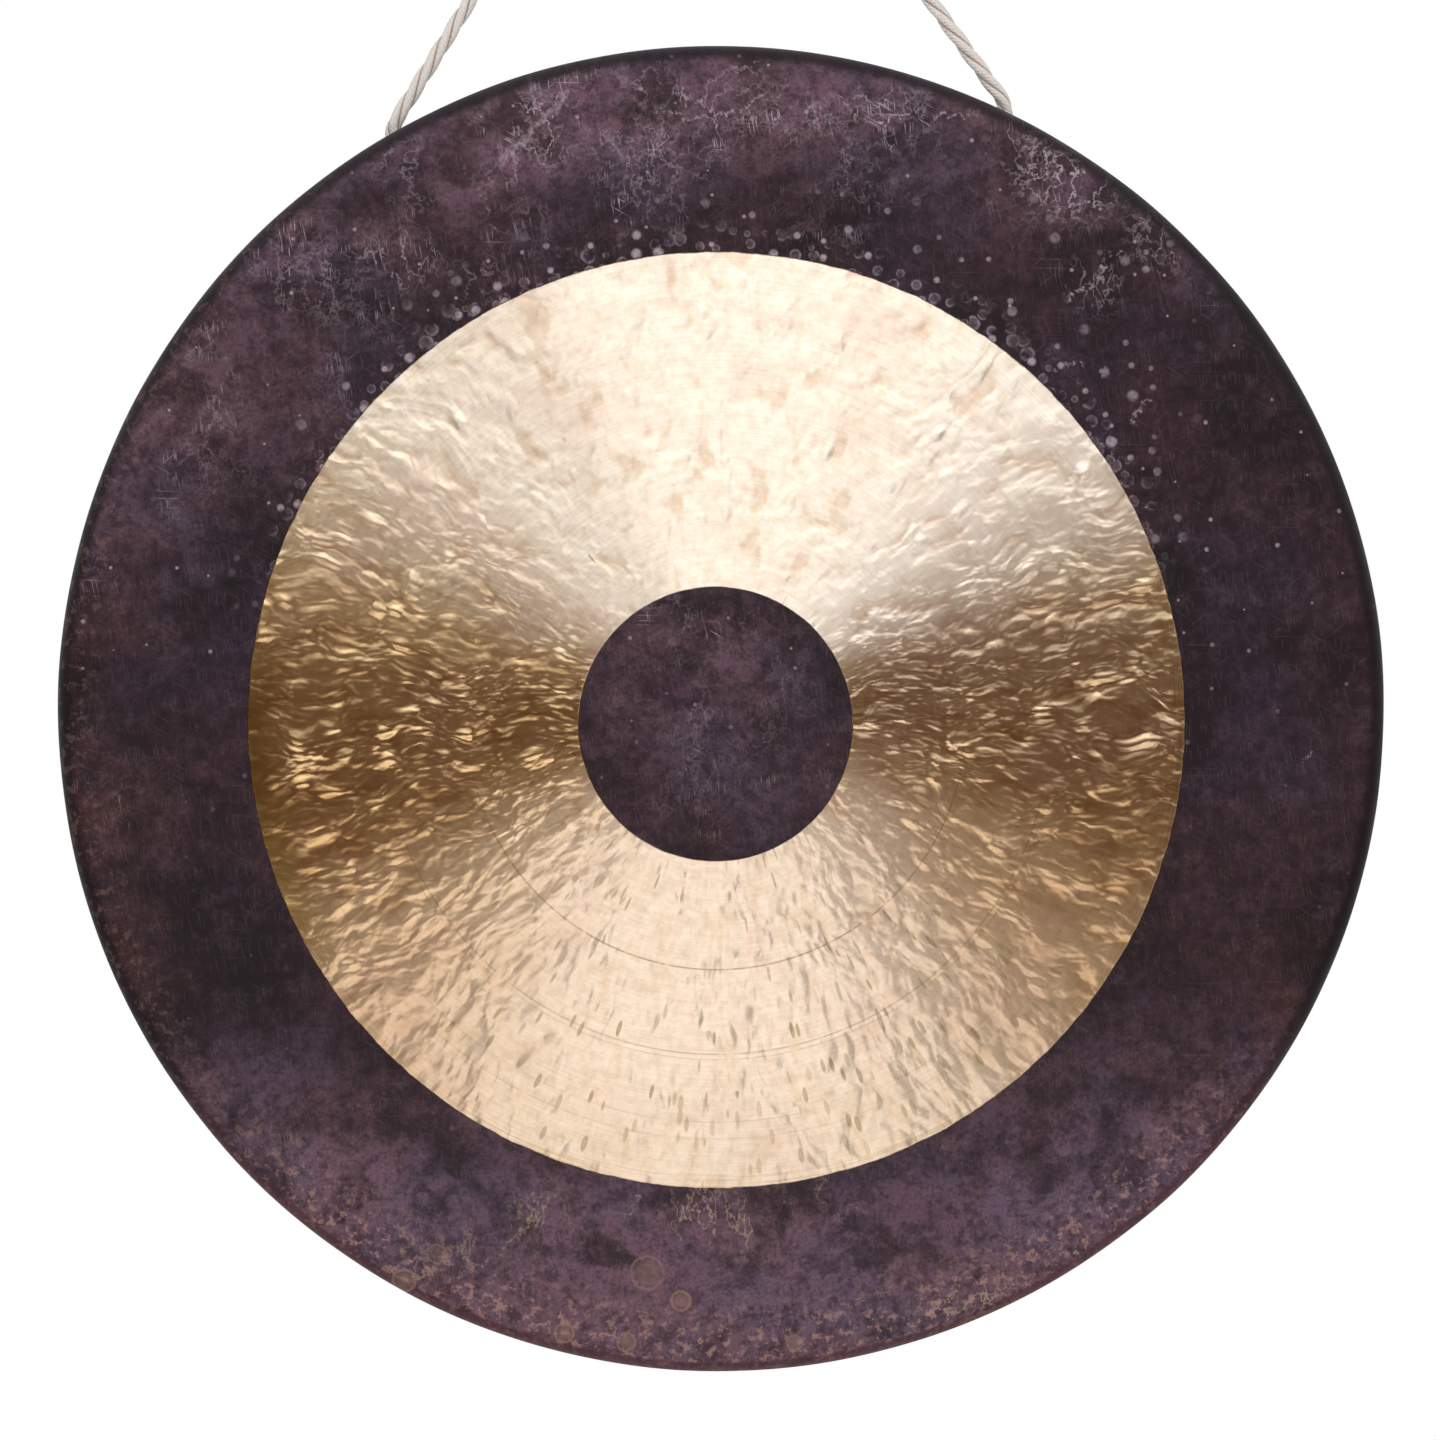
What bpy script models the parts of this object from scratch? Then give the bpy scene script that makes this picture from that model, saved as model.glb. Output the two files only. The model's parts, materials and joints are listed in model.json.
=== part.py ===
"""Chau gong: a hammered bronze disc with a turned-back rim, hung by one cord from an S-hook.

The origin is the hang point, inside the top bend of the hook. +Z is up, +X is to the right of
somebody who faces the gong, and the struck face looks along -Y. All sizes are in metres.
"""

import math

import bmesh
import bpy
from mathutils import Matrix, Vector

# Gong disc: one piece of hammered bronze
GONG_RADIUS = 0.432
FACE_CROWN = 0.006
FACE_THICKNESS = 0.0034
SHOULDER_RADIUS = 0.016
RIM_DEPTH = 0.054
RIM_TAPER = math.radians(12.0)
RIM_THICKNESS = 0.004
RIM_CHAMFER = 0.0006
FACE_STEPS = 7
SHOULDER_STEPS = 7
TURN_STEPS = 96

# The two cord holes, drilled through the rim
HOLE_ANGLE = math.radians(28.0)
HOLE_DEPTH = 0.035
HOLE_RADIUS = 0.008
HOLE_SIDES = 24
HOLE_CUTTER_LENGTH = 0.03

# S-hook, bent from round steel wire in the YZ plane
HOOK_WIRE_RADIUS = 0.005
HOOK_BEND_RADIUS = 0.020
HOOK_BEND_SPACING = 0.048
HOOK_TIP_ANGLE = math.radians(12.0)
HOOK_BEND_STEPS = 22
HOOK_END_ROUNDING = 0.003
HOOK_WIRE_RESOLUTION = 3
HOOK_INSIDE_RADIUS = HOOK_BEND_RADIUS - HOOK_WIRE_RADIUS
UPPER_BEND_Z = -HOOK_INSIDE_RADIUS
LOWER_BEND_Z = UPPER_BEND_Z - HOOK_BEND_SPACING

# Cord: (x, z) from the top of its bight over the hook, down the right leg and into the right hole
CORD_RADIUS = 0.005
CORD_RESOLUTION = 3
CORD_SAMPLE = 0.020
CORD_HALF_ROUTE = (
    (0.0000, -0.0727),
    (0.0048, -0.0733),
    (0.0094, -0.0750),
    (0.0134, -0.0778),
    (0.0167, -0.0817),
    (0.0250, -0.0942),
    (0.0468, -0.1271),
    (0.0769, -0.1726),
    (0.1070, -0.2181),
    (0.1371, -0.2636),
    (0.1672, -0.3091),
    (0.1890, -0.3420),
    (0.1973, -0.3546),
    (0.1986, -0.3569),
    (0.1999, -0.3601),
    (0.2005, -0.3635),
    (0.2006, -0.3670),
    (0.2001, -0.3703),
)

# The line through both holes, about which the gong tilts on its cord
HOLE_LINE_Z = -0.3706

# Stopper knots, seated against the inside of the rim
KNOT_RADIUS = 0.014
KNOT_SEAT_GAP = 0.0004
NECK_RADIUS = 0.0045
NECK_DROP = 0.0051
TAIL_LENGTH = 0.034
TAIL_RADIUS = 0.0045
TAIL_LEAN_BACK = math.radians(25.0)
KNOT_SIDES = 20
KNOT_RINGS = 12
NECK_SIDES = 12
NECK_RINGS = 8

# Meshes: ends that meet are joined within the first distance, and edges past the angle stay sharp
JOIN_DISTANCE = 0.00005
SHARP_EDGE_ANGLE = math.radians(40.0)
HOOK_END_ANGLE = math.radians(60.0)
HOOK_END_STEPS = 3
AXIS_ARROW_LENGTH = 0.05

# Colour, roughness and metallic value of each material
BRONZE = ((0.50, 0.38, 0.22), 0.35, 1.0)
COTTON = ((0.84, 0.80, 0.73), 0.90, 0.0)
STEEL = ((0.62, 0.62, 0.60), 0.30, 1.0)


def clear_scene():
    for old in list(bpy.data.objects):
        bpy.data.objects.remove(old, do_unlink=True)


def new_collection(name):
    collection = bpy.data.collections.new(name)
    bpy.context.scene.collection.children.link(collection)
    return collection


def make_material(name, look):
    colour, roughness, metallic = look
    material = bpy.data.materials.new(name)
    material.use_nodes = True
    shader = material.node_tree.nodes["Principled BSDF"]
    shader.inputs["Base Color"].default_value = (*colour, 1.0)
    shader.inputs["Roughness"].default_value = roughness
    shader.inputs["Metallic"].default_value = metallic
    return material


def add_object(name, data, collection, parent=None, material=None):
    made = bpy.data.objects.new(name, data)
    collection.objects.link(made)
    made.parent = parent
    if material:
        data.materials.append(material)
    return made


def add_axis(name, collection, location, parent=None):
    """An empty on a joint's axis, which is along its X."""
    axis = add_object(name, None, collection, parent)
    axis.location = location
    axis.empty_display_type = "SINGLE_ARROW"
    axis.empty_display_size = AXIS_ARROW_LENGTH
    return axis


def mesh_from_bmesh(name, shape):
    mesh = bpy.data.meshes.new(name)
    shape.to_mesh(mesh)
    shape.free()
    mesh.shade_smooth()
    mesh.set_sharp_from_angle(angle=SHARP_EDGE_ANGLE)
    return mesh


def hide_cutter(cutter):
    cutter.hide_render = True
    cutter.display_type = "WIRE"


def combine(target, tool, operation):
    modifier = target.modifiers.new(tool.name, "BOOLEAN")
    modifier.operation = operation
    modifier.object = tool
    modifier.solver = "EXACT"


def face_sphere_radius():
    """Radius of the gently crowned face, from its rise between the middle and the shoulder."""
    reach = GONG_RADIUS - SHOULDER_RADIUS
    return (reach ** 2 + FACE_CROWN ** 2) / (2.0 * FACE_CROWN)


def shoulder_centre():
    """Radius and depth of the middle of the shoulder's bend, which the face meets smoothly."""
    radius = GONG_RADIUS - SHOULDER_RADIUS
    sphere = face_sphere_radius()
    depth = sphere - math.sqrt((sphere - SHOULDER_RADIUS) ** 2 - radius ** 2)
    return radius, depth


def shoulder_arc(first_thickness, last_thickness):
    """Points along the shoulder, from the face round to the rim, at a depth inside the metal."""
    radius, depth = shoulder_centre()
    start = math.asin(radius / (face_sphere_radius() - SHOULDER_RADIUS))
    sweep = math.pi / 2.0 + RIM_TAPER - start
    points = []
    for step in range(SHOULDER_STEPS + 1):
        part = step / SHOULDER_STEPS
        turn = start + sweep * part
        bend = SHOULDER_RADIUS - first_thickness - (last_thickness - first_thickness) * part
        points.append((radius + bend * math.sin(turn), depth - bend * math.cos(turn)))
    return points


def face_arc(thickness, edge_radius):
    """Points of the crowned face from the middle outwards, short of the shoulder."""
    sphere = face_sphere_radius()
    points = []
    for step in range(FACE_STEPS):
        radius = edge_radius * step / FACE_STEPS
        points.append((radius, sphere - math.sqrt((sphere - thickness) ** 2 - radius ** 2)))
    return points


def rim_radius(depth):
    """Outer radius of the straight part of the rim at a depth behind the face."""
    end_radius, end_depth = shoulder_arc(0.0, 0.0)[-1]
    return end_radius - (depth - end_depth) * math.tan(RIM_TAPER)


def gong_profile():
    """(radius, depth) round the section: front of the face, rim, back edge, and back again."""
    outer = shoulder_arc(0.0, 0.0)
    inner = shoulder_arc(FACE_THICKNESS, RIM_THICKNESS)
    inner.reverse()
    wall = RIM_THICKNESS / math.cos(RIM_TAPER)
    back_outer = rim_radius(RIM_DEPTH)
    back_inner = back_outer - wall
    chamfer_depth = RIM_DEPTH - RIM_CHAMFER
    back_edge = [
        (rim_radius(chamfer_depth), chamfer_depth),
        (back_outer - RIM_CHAMFER, RIM_DEPTH),
        (back_inner + RIM_CHAMFER, RIM_DEPTH),
        (rim_radius(chamfer_depth) - wall, chamfer_depth),
    ]
    front = face_arc(0.0, outer[0][0])
    back = face_arc(FACE_THICKNESS, inner[-1][0])
    back.reverse()
    return front + outer + back_edge + inner + back


def balance_depth(profile):
    """Depth of the turned shape's centre of mass, from the cone frustum under each edge."""
    volume = 0.0
    moment = 0.0
    for (r1, d1), (r2, d2) in zip(profile, profile[1:]):
        height = d2 - d1
        squares = r1 * r1 + r1 * r2 + r2 * r2
        lean = r1 * r1 + 2.0 * r1 * r2 + 3.0 * r2 * r2
        volume += height * squares / 3.0
        moment += height * (d1 * squares / 3.0 + height * lean / 12.0)
    return moment / volume


def hole_radius_from_centre():
    """How far the middle of the rim's wall at a cord hole is from the gong's own axis."""
    return rim_radius(HOLE_DEPTH) - RIM_THICKNESS / math.cos(RIM_TAPER) / 2.0


def hole_height():
    return hole_radius_from_centre() * math.cos(HOLE_ANGLE)


def hang_tilt():
    """The gong hangs with its centre of mass under the line through its two holes."""
    return math.atan2(HOLE_DEPTH - balance_depth(gong_profile()), hole_height())


def outward(side):
    """Direction out of a cord hole, in the plane of the gong: side is 1 right, -1 left."""
    return Vector((side * math.sin(HOLE_ANGLE), 0.0, math.cos(HOLE_ANGLE)))


def hole_centre(side):
    return Vector((side * hole_radius_from_centre() * math.sin(HOLE_ANGLE), 0.0, 0.0))


def build_gong(parts, cutters, tilt_axis):
    profile = gong_profile()
    mesh = bpy.data.meshes.new("gong_disc")
    shape = bmesh.new()
    corners = [shape.verts.new((radius, 0.0, -depth)) for radius, depth in profile]
    for start, end in zip(corners, corners[1:]):
        shape.edges.new((start, end))
    shape.to_mesh(mesh)
    shape.free()
    gong = add_object("gong_disc", mesh, parts, tilt_axis, make_material("bronze", BRONZE))
    gong.location = (0.0, -HOLE_DEPTH, -hole_height())
    gong.rotation_euler = (math.pi / 2.0, 0.0, 0.0)
    turn = gong.modifiers.new("turned", "SCREW")
    turn.steps = TURN_STEPS
    turn.render_steps = TURN_STEPS
    turn.use_merge_vertices = True
    turn.merge_threshold = JOIN_DISTANCE
    turn.use_smooth_shade = True
    for side, name in ((1, "hole_right"), (-1, "hole_left")):
        combine(gong, build_hole_cutter(name, side, cutters, tilt_axis), "DIFFERENCE")


def build_hole_cutter(name, side, cutters, tilt_axis):
    shape = bmesh.new()
    bmesh.ops.create_cone(
        shape, cap_ends=True, segments=HOLE_SIDES,
        radius1=HOLE_RADIUS, radius2=HOLE_RADIUS, depth=HOLE_CUTTER_LENGTH,
    )
    cutter = add_object(name, mesh_from_bmesh(name, shape), cutters, tilt_axis)
    cutter.location = hole_centre(side)
    cutter.rotation_euler = (0.0, side * HOLE_ANGLE, 0.0)
    hide_cutter(cutter)
    return cutter


def build_knot(name, side, parts, cutters, tilt_axis, material):
    """A round stopper knot: its neck reaches up the hole, and its tail hangs free behind."""
    seat = RIM_THICKNESS / 2.0 + KNOT_SEAT_GAP + KNOT_RADIUS
    ball = hole_centre(side) - outward(side) * (seat / math.cos(RIM_TAPER))
    neck = hole_centre(side) - outward(side) * NECK_DROP
    shape = bmesh.new()
    bmesh.ops.create_uvsphere(
        shape, u_segments=KNOT_SIDES, v_segments=KNOT_RINGS,
        radius=KNOT_RADIUS, matrix=Matrix.Translation(ball),
    )
    knot = add_object(name, mesh_from_bmesh(name, shape), parts, tilt_axis, material)
    shape = bmesh.new()
    bmesh.ops.create_uvsphere(
        shape, u_segments=NECK_SIDES, v_segments=NECK_RINGS,
        radius=NECK_RADIUS, matrix=Matrix.Translation(neck),
    )
    neck_part = add_object(name + "_neck", mesh_from_bmesh(name + "_neck", shape), cutters, tilt_axis)
    hide_cutter(neck_part)
    shape = bmesh.new()
    bmesh.ops.create_cone(
        shape, cap_ends=True, segments=NECK_SIDES,
        radius1=TAIL_RADIUS, radius2=TAIL_RADIUS, depth=TAIL_LENGTH,
    )
    bmesh.ops.translate(shape, verts=shape.verts, vec=(0.0, 0.0, -TAIL_LENGTH / 2.0))
    tail = add_object(name + "_tail", mesh_from_bmesh(name + "_tail", shape), cutters, tilt_axis)
    tail.location = ball
    tail.rotation_euler = (TAIL_LEAN_BACK, 0.0, 0.0)
    hide_cutter(tail)
    combine(knot, neck_part, "UNION")
    combine(knot, tail, "UNION")


def smooth_route(points, sample):
    """Points read from one smooth curve through the route's own points."""
    route = [Vector(point) for point in points]
    spans = [(b - a).length for a, b in zip(route, route[1:])]
    tangents = [(route[1] - route[0]) / spans[0]]
    for i in range(1, len(route) - 1):
        before = (route[i] - route[i - 1]) / spans[i - 1]
        after = (route[i + 1] - route[i]) / spans[i]
        tangents.append((before * spans[i] + after * spans[i - 1]) / (spans[i] + spans[i - 1]))
    tangents.append((route[-1] - route[-2]) / spans[-1])
    smooth = [route[0]]
    for i, span in enumerate(spans):
        steps = max(1, round(span / sample))
        for step in range(1, steps + 1):
            t = step / steps
            smooth.append(
                route[i] * (2 * t ** 3 - 3 * t ** 2 + 1)
                + tangents[i] * span * (t ** 3 - 2 * t ** 2 + t)
                + route[i + 1] * (3 * t ** 2 - 2 * t ** 3)
                + tangents[i + 1] * span * (t ** 3 - t ** 2)
            )
    return smooth


def wire_curve(name, points, radius, resolution):
    """A round wire or cord along points, with its ends closed."""
    curve = bpy.data.curves.new(name, "CURVE")
    curve.dimensions = "3D"
    curve.twist_mode = "MINIMUM"
    curve.bevel_depth = radius
    curve.bevel_resolution = resolution
    curve.use_fill_caps = True
    spline = curve.splines.new("POLY")
    spline.points.add(len(points) - 1)
    for place, point in zip(spline.points, points):
        place.co = (*point, 1.0)
    return curve


def build_cord(parts, swing_axis, material):
    right_leg = [(x, 0.0, z - LOWER_BEND_Z) for x, z in CORD_HALF_ROUTE]
    left_leg = [(-x, y, z) for x, y, z in right_leg[1:]]
    left_leg.reverse()
    points = smooth_route(left_leg + right_leg, CORD_SAMPLE)
    curve = wire_curve("cord", points, CORD_RADIUS, CORD_RESOLUTION)
    add_object("cord", curve, parts, swing_axis, material)


def hook_points():
    """The hook's centreline: a bend over the top, a straight shank, and the same bend turned over."""
    crossing = math.asin(2.0 * HOOK_BEND_RADIUS / HOOK_BEND_SPACING)
    sweep = math.pi + HOOK_TIP_ANGLE + crossing
    middle = (UPPER_BEND_Z + LOWER_BEND_Z) / 2.0
    upper = []
    for step in range(HOOK_BEND_STEPS + 1):
        angle = math.pi + HOOK_TIP_ANGLE - sweep * step / HOOK_BEND_STEPS
        y = HOOK_BEND_RADIUS * math.cos(angle)
        z = UPPER_BEND_Z + HOOK_BEND_RADIUS * math.sin(angle)
        upper.append((0.0, y, z))
    lower = [(0.0, -y, 2.0 * middle - z) for _, y, z in upper]
    lower.reverse()
    return upper + lower


def build_hook(parts):
    curve = wire_curve("s_hook", hook_points(), HOOK_WIRE_RADIUS, HOOK_WIRE_RESOLUTION)
    hook = add_object("s_hook", curve, parts, None, make_material("steel", STEEL))
    weld = hook.modifiers.new("join_caps", "WELD")
    weld.merge_threshold = JOIN_DISTANCE
    rounding = hook.modifiers.new("round_ends", "BEVEL")
    rounding.width = HOOK_END_ROUNDING
    rounding.segments = HOOK_END_STEPS
    rounding.limit_method = "ANGLE"
    rounding.angle_limit = HOOK_END_ANGLE


def build_chau_gong():
    clear_scene()
    parts = new_collection("chau_gong")
    cutters = new_collection("cutters")
    swing_axis = add_axis("cord_swing_axis", parts, (0.0, 0.0, LOWER_BEND_Z))
    tilt_axis = add_axis("gong_tilt_axis", parts, (0.0, 0.0, HOLE_LINE_Z - LOWER_BEND_Z), swing_axis)
    tilt_axis.rotation_euler = (hang_tilt(), 0.0, 0.0)
    cotton = make_material("cotton", COTTON)
    build_hook(parts)
    build_cord(parts, swing_axis, cotton)
    build_gong(parts, cutters, tilt_axis)
    build_knot("knot_right", 1, parts, cutters, tilt_axis, cotton)
    build_knot("knot_left", -1, parts, cutters, tilt_axis, cotton)


build_chau_gong()
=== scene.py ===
"""Looks of a chau gong that hangs on one cord, built round its packed frame.

Laid out as an add-on and run as a script: main() makes the stage and every piece in order. Sizes
are in metres in the frame's own axes: +Z up, the struck face looks along -Y, +X to its right.
"""

import json
import math

import bmesh
import bpy
import numpy as np
from mathutils import Matrix, Vector, noise


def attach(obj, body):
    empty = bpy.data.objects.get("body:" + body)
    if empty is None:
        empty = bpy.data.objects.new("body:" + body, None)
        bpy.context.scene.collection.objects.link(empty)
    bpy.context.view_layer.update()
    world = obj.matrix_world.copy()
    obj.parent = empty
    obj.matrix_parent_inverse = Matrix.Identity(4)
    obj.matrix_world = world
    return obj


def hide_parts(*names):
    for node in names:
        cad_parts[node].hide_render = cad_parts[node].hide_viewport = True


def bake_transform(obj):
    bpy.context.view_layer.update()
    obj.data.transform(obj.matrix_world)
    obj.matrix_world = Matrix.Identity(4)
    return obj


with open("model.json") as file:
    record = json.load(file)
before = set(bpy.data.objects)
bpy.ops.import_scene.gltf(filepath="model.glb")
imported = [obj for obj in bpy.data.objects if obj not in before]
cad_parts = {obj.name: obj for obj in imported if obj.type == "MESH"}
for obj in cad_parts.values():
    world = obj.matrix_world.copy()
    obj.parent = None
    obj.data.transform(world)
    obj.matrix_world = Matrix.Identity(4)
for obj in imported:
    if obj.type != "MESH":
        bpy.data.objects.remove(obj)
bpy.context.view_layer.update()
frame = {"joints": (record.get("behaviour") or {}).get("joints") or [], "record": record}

bl_info = {
    "name": "Chau gong",
    "version": (1, 0, 0),
    "blender": (4, 5, 0),
    "location": "3D View > Sidebar > Gong",
    "description": "A bronze chau gong on its cord and hook, with a plain studio round it",
    "category": "Add Mesh",
}

# Where the gong hangs, from the frame's joints and mounts
JOINT_PLACES = {joint["name"]: Vector(joint["pos_m"]) for joint in frame["joints"]}
HOOK_BEND_CENTRE = JOINT_PLACES["cord_swing"]
HOLE_LINE = JOINT_PLACES["gong_tilt"]
MOUNTS = {mount["name"]: mount for mount in frame["record"]["mounts"]}
GONG_BACK = Vector(MOUNTS["back_edge"]["axis"]).normalized()
GONG_RIGHT = Vector((1.0, 0.0, 0.0))
GONG_UP = GONG_RIGHT.cross(GONG_BACK)
GONG_TILT = math.atan2(GONG_BACK.z, GONG_BACK.y)

# Hook: a round wire bent to an S, in the plane that runs front to back
HOOK_WIRE_RADIUS = 0.005
HOOK_BEND_RADIUS = 0.020
HOOK_BEND_SPACING = 0.048
HOOK_TIP_ANGLE = math.radians(12.0)
HOOK_BEND_STEPS = 64
HOOK_SIDES = 40
HOOK_END_ROUNDING = 0.003
HOOK_END_STEPS = 8

# Cord: (x, z) from the top of its bight over the hook, down the right leg and into the right hole
CORD_HALF_ROUTE = (
    (0.0000, -0.0727),
    (0.0048, -0.0733),
    (0.0094, -0.0750),
    (0.0134, -0.0778),
    (0.0167, -0.0817),
    (0.0250, -0.0942),
    (0.0468, -0.1271),
    (0.0769, -0.1726),
    (0.1070, -0.2181),
    (0.1371, -0.2636),
    (0.1672, -0.3091),
    (0.1890, -0.3420),
    (0.1973, -0.3546),
    (0.1986, -0.3569),
    (0.1999, -0.3601),
    (0.2005, -0.3635),
    (0.2006, -0.3670),
    (0.2001, -0.3703),
)
CORD_STEP = 0.0018
CORD_SIDES_PER_STRAND = 12

# Knots: the cord is pressed thinner where it is tied, and the points that the knot is drawn tight with
KNOT_PRESSED = 0.87
KNOT_LOOSE = 0.99
FRAYED_SWELL = 0.05
KNOT_SPACING = 0.0084
KNOT_CORD_LENGTH = 0.15
KNOT_POINTS = 84
KNOT_ROUNDS = 700
KNOT_REACH = 0.0144
KNOT_USED = 0.8 * KNOT_REACH
KNOT_OVERLAP = 0.0004
KNOT_LEAD = 0.0012
KNOT_STEP = 0.0011
TAIL_DROP = 0.024
TAIL_SHARES = (0.25, 0.5, 0.75, 1.0)
TAIL_LEAN_BACK = math.radians(25.0)
KNOT_TURNS = (math.radians(200.0), math.radians(140.0))
KNOT_PRESSED_FROM = 0.008
KNOT_PRESSED_TO = 0.020
FRAYED_LENGTH = 0.005

# Stage: light banks by their place from the gong's middle and their size, and what the camera sees
LIGHT_BANKS = (
    ("key_bank", (0.35, -2.6, 1.75), 5.0, 1.5),
    ("low_bank", (-0.2, -1.9, -0.85), 1.4, 0.5),
)
CAMERA_OFF_RIGHT = 0.0016
CAMERA_OFF_UP = 0.0072
FLOOR_SIDES = 128
CARD_STEPS = 48
MAT_ABOVE_FLOOR = 0.01
MIRRORED_FLOOR = 0.5


def length_property(name, description, default, low, high):
    return bpy.props.FloatProperty(
        name=name, description=description, default=default, min=low, max=high,
        subtype="DISTANCE", unit="LENGTH",
    )


def angle_property(name, description, degrees, low=-180.0, high=180.0):
    return bpy.props.FloatProperty(
        name=name, description=description, default=math.radians(degrees),
        min=math.radians(low), max=math.radians(high), subtype="ANGLE",
    )


def power_property(name, description, default):
    return bpy.props.FloatProperty(
        name=name, description=description, default=default, min=0.0, max=2000.0,
        subtype="POWER", unit="POWER",
    )


def colour_property(name, description, default):
    return bpy.props.FloatVectorProperty(
        name=name, description=description, default=default, size=3, min=0.0, max=1.0,
        subtype="COLOR",
    )


class GongDiscSettings(bpy.types.PropertyGroup):
    """Sizes and colours of the bronze disc."""

    radius: length_property(
        "Radius", "Middle of the gong to the widest part of its shoulder", 0.432, 0.1, 1.0)
    crown: length_property(
        "Crown", "How far the middle of the face stands in front of the shoulder", 0.006, 0.001, 0.05)
    face_thickness: length_property(
        "Face thickness", "Thickness of the hammered face", 0.0034, 0.001, 0.01)
    shoulder_radius: length_property(
        "Shoulder radius", "Outer radius of the bend between face and rim", 0.016, 0.005, 0.05)
    rim_depth: length_property(
        "Rim depth", "Front of the face to the back edge of the rim", 0.054, 0.02, 0.15)
    rim_taper: angle_property(
        "Rim taper", "How far the rim leans in towards its back edge", 12.0, 0.0, 30.0)
    rim_thickness: length_property(
        "Rim thickness", "Thickness of the turned-back rim", 0.004, 0.001, 0.01)
    hole_angle: angle_property(
        "Hole angle", "Each cord hole's place, from the top of the rim", 28.0, 0.0, 60.0)
    hole_depth: length_property(
        "Hole depth", "Front of the face to the middle of a cord hole", 0.035, 0.01, 0.1)
    hole_radius: length_property("Hole radius", "Radius of a cord hole", 0.008, 0.002, 0.02)
    ring_radius: length_property(
        "Ring radius", "Outer radius of the bright lathed ring", 0.304, 0.05, 1.0)
    middle_radius: length_property(
        "Middle radius", "Radius of the dark middle that the lathe left", 0.089, 0.01, 0.5)
    # Painted highlight: the lathed ring's colour above, paler and creamier than elsewhere, where it
    # reflects the light
    bright: colour_property("Bright bronze", "Colour of the lathed ring", (0.97, 0.862, 0.735))
    # Painted dark reflection: the lathed ring's colour at both sides, browner and darker, where it reflects
    # the dark card
    side_reflection_bronze: colour_property(
        "Browned bronze", "Colour of the lathed ring where it has tarnished", (0.84, 0.65, 0.42))
    oxide: colour_property(
        "Oxide", "Main colour of the dark skin left by the forge", (0.0485, 0.0222, 0.0300))
    # Also the colour of the painted sheen at the top of the dark skin
    oxide_pale: colour_property(
        "Pale oxide", "Colour of the worn and smudged places in the dark skin",
        (0.190, 0.104, 0.141))
    oxide_dark: colour_property(
        "Dark oxide", "Colour of the thickest dark skin", (0.0215, 0.0104, 0.0132))


class CordSettings(bpy.types.PropertyGroup):
    """Sizes and colour of the cord and its knots."""

    radius: length_property("Radius", "Outer radius of the laid cord", 0.005, 0.001, 0.02)
    pitch: length_property(
        "Pitch", "Length in which a strand goes once round the cord", 0.064, 0.01, 0.2)
    strands: bpy.props.IntProperty(
        name="Strands", description="Strands laid up in the cord", default=3, min=2, max=6,
    )
    strand_radius: length_property(
        "Strand radius", "Radius of one strand, pressed into its neighbours", 0.0029, 0.0005, 0.01)
    colour: colour_property("Cotton", "Colour of the undyed cotton", (0.985, 0.925, 0.860))


class StageSettings(bpy.types.PropertyGroup):
    """Floor, lights and camera."""

    floor_height: length_property(
        "Floor height", "Height of the floor below the hang point", -1.9, -5.0, -1.2)
    floor_radius: length_property("Floor radius", "Radius of the round floor", 12.0, 2.0, 50.0)
    camera_distance: length_property(
        "Camera distance", "Camera to the widest part of the gong", 4.5, 1.0, 20.0)
    view_height: length_property(
        "View height", "Height of what the camera sees at the gong", 0.9387, 0.1, 5.0)
    camera_roll: angle_property(
        "Camera roll", "How far the gong leans to the left in the picture", 2.07)
    card_radius: length_property(
        "Card radius", "Hang point to the curved brown card that the bronze reflects", 5.6, 2.0, 20.0)
    card_reach: angle_property(
        "Card reach", "How high the card's top edge stands, seen from the gong's middle",
        8.5, 0.0, 60.0)
    mat_radius: length_property(
        "Mat radius", "Hang point to the near edge of the brown mat under the card", 3.2, 1.0, 20.0)
    card_sweep: angle_property("Card sweep", "How far round the card goes", 200.0, 0.0, 340.0)
    card_colour: colour_property("Card colour", "Colour of the card", (0.30, 0.150, 0.055))
    key_power: power_property("Key power", "Power of the soft light above and in front", 36.5)
    low_power: power_property("Low power", "Power of the weaker soft light near the floor", 6.5)
    fill_level: bpy.props.FloatProperty(
        name="Fill level", description="Strength of the light that comes from all round",
        default=0.60, min=0.0, max=2.0,
    )


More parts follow.
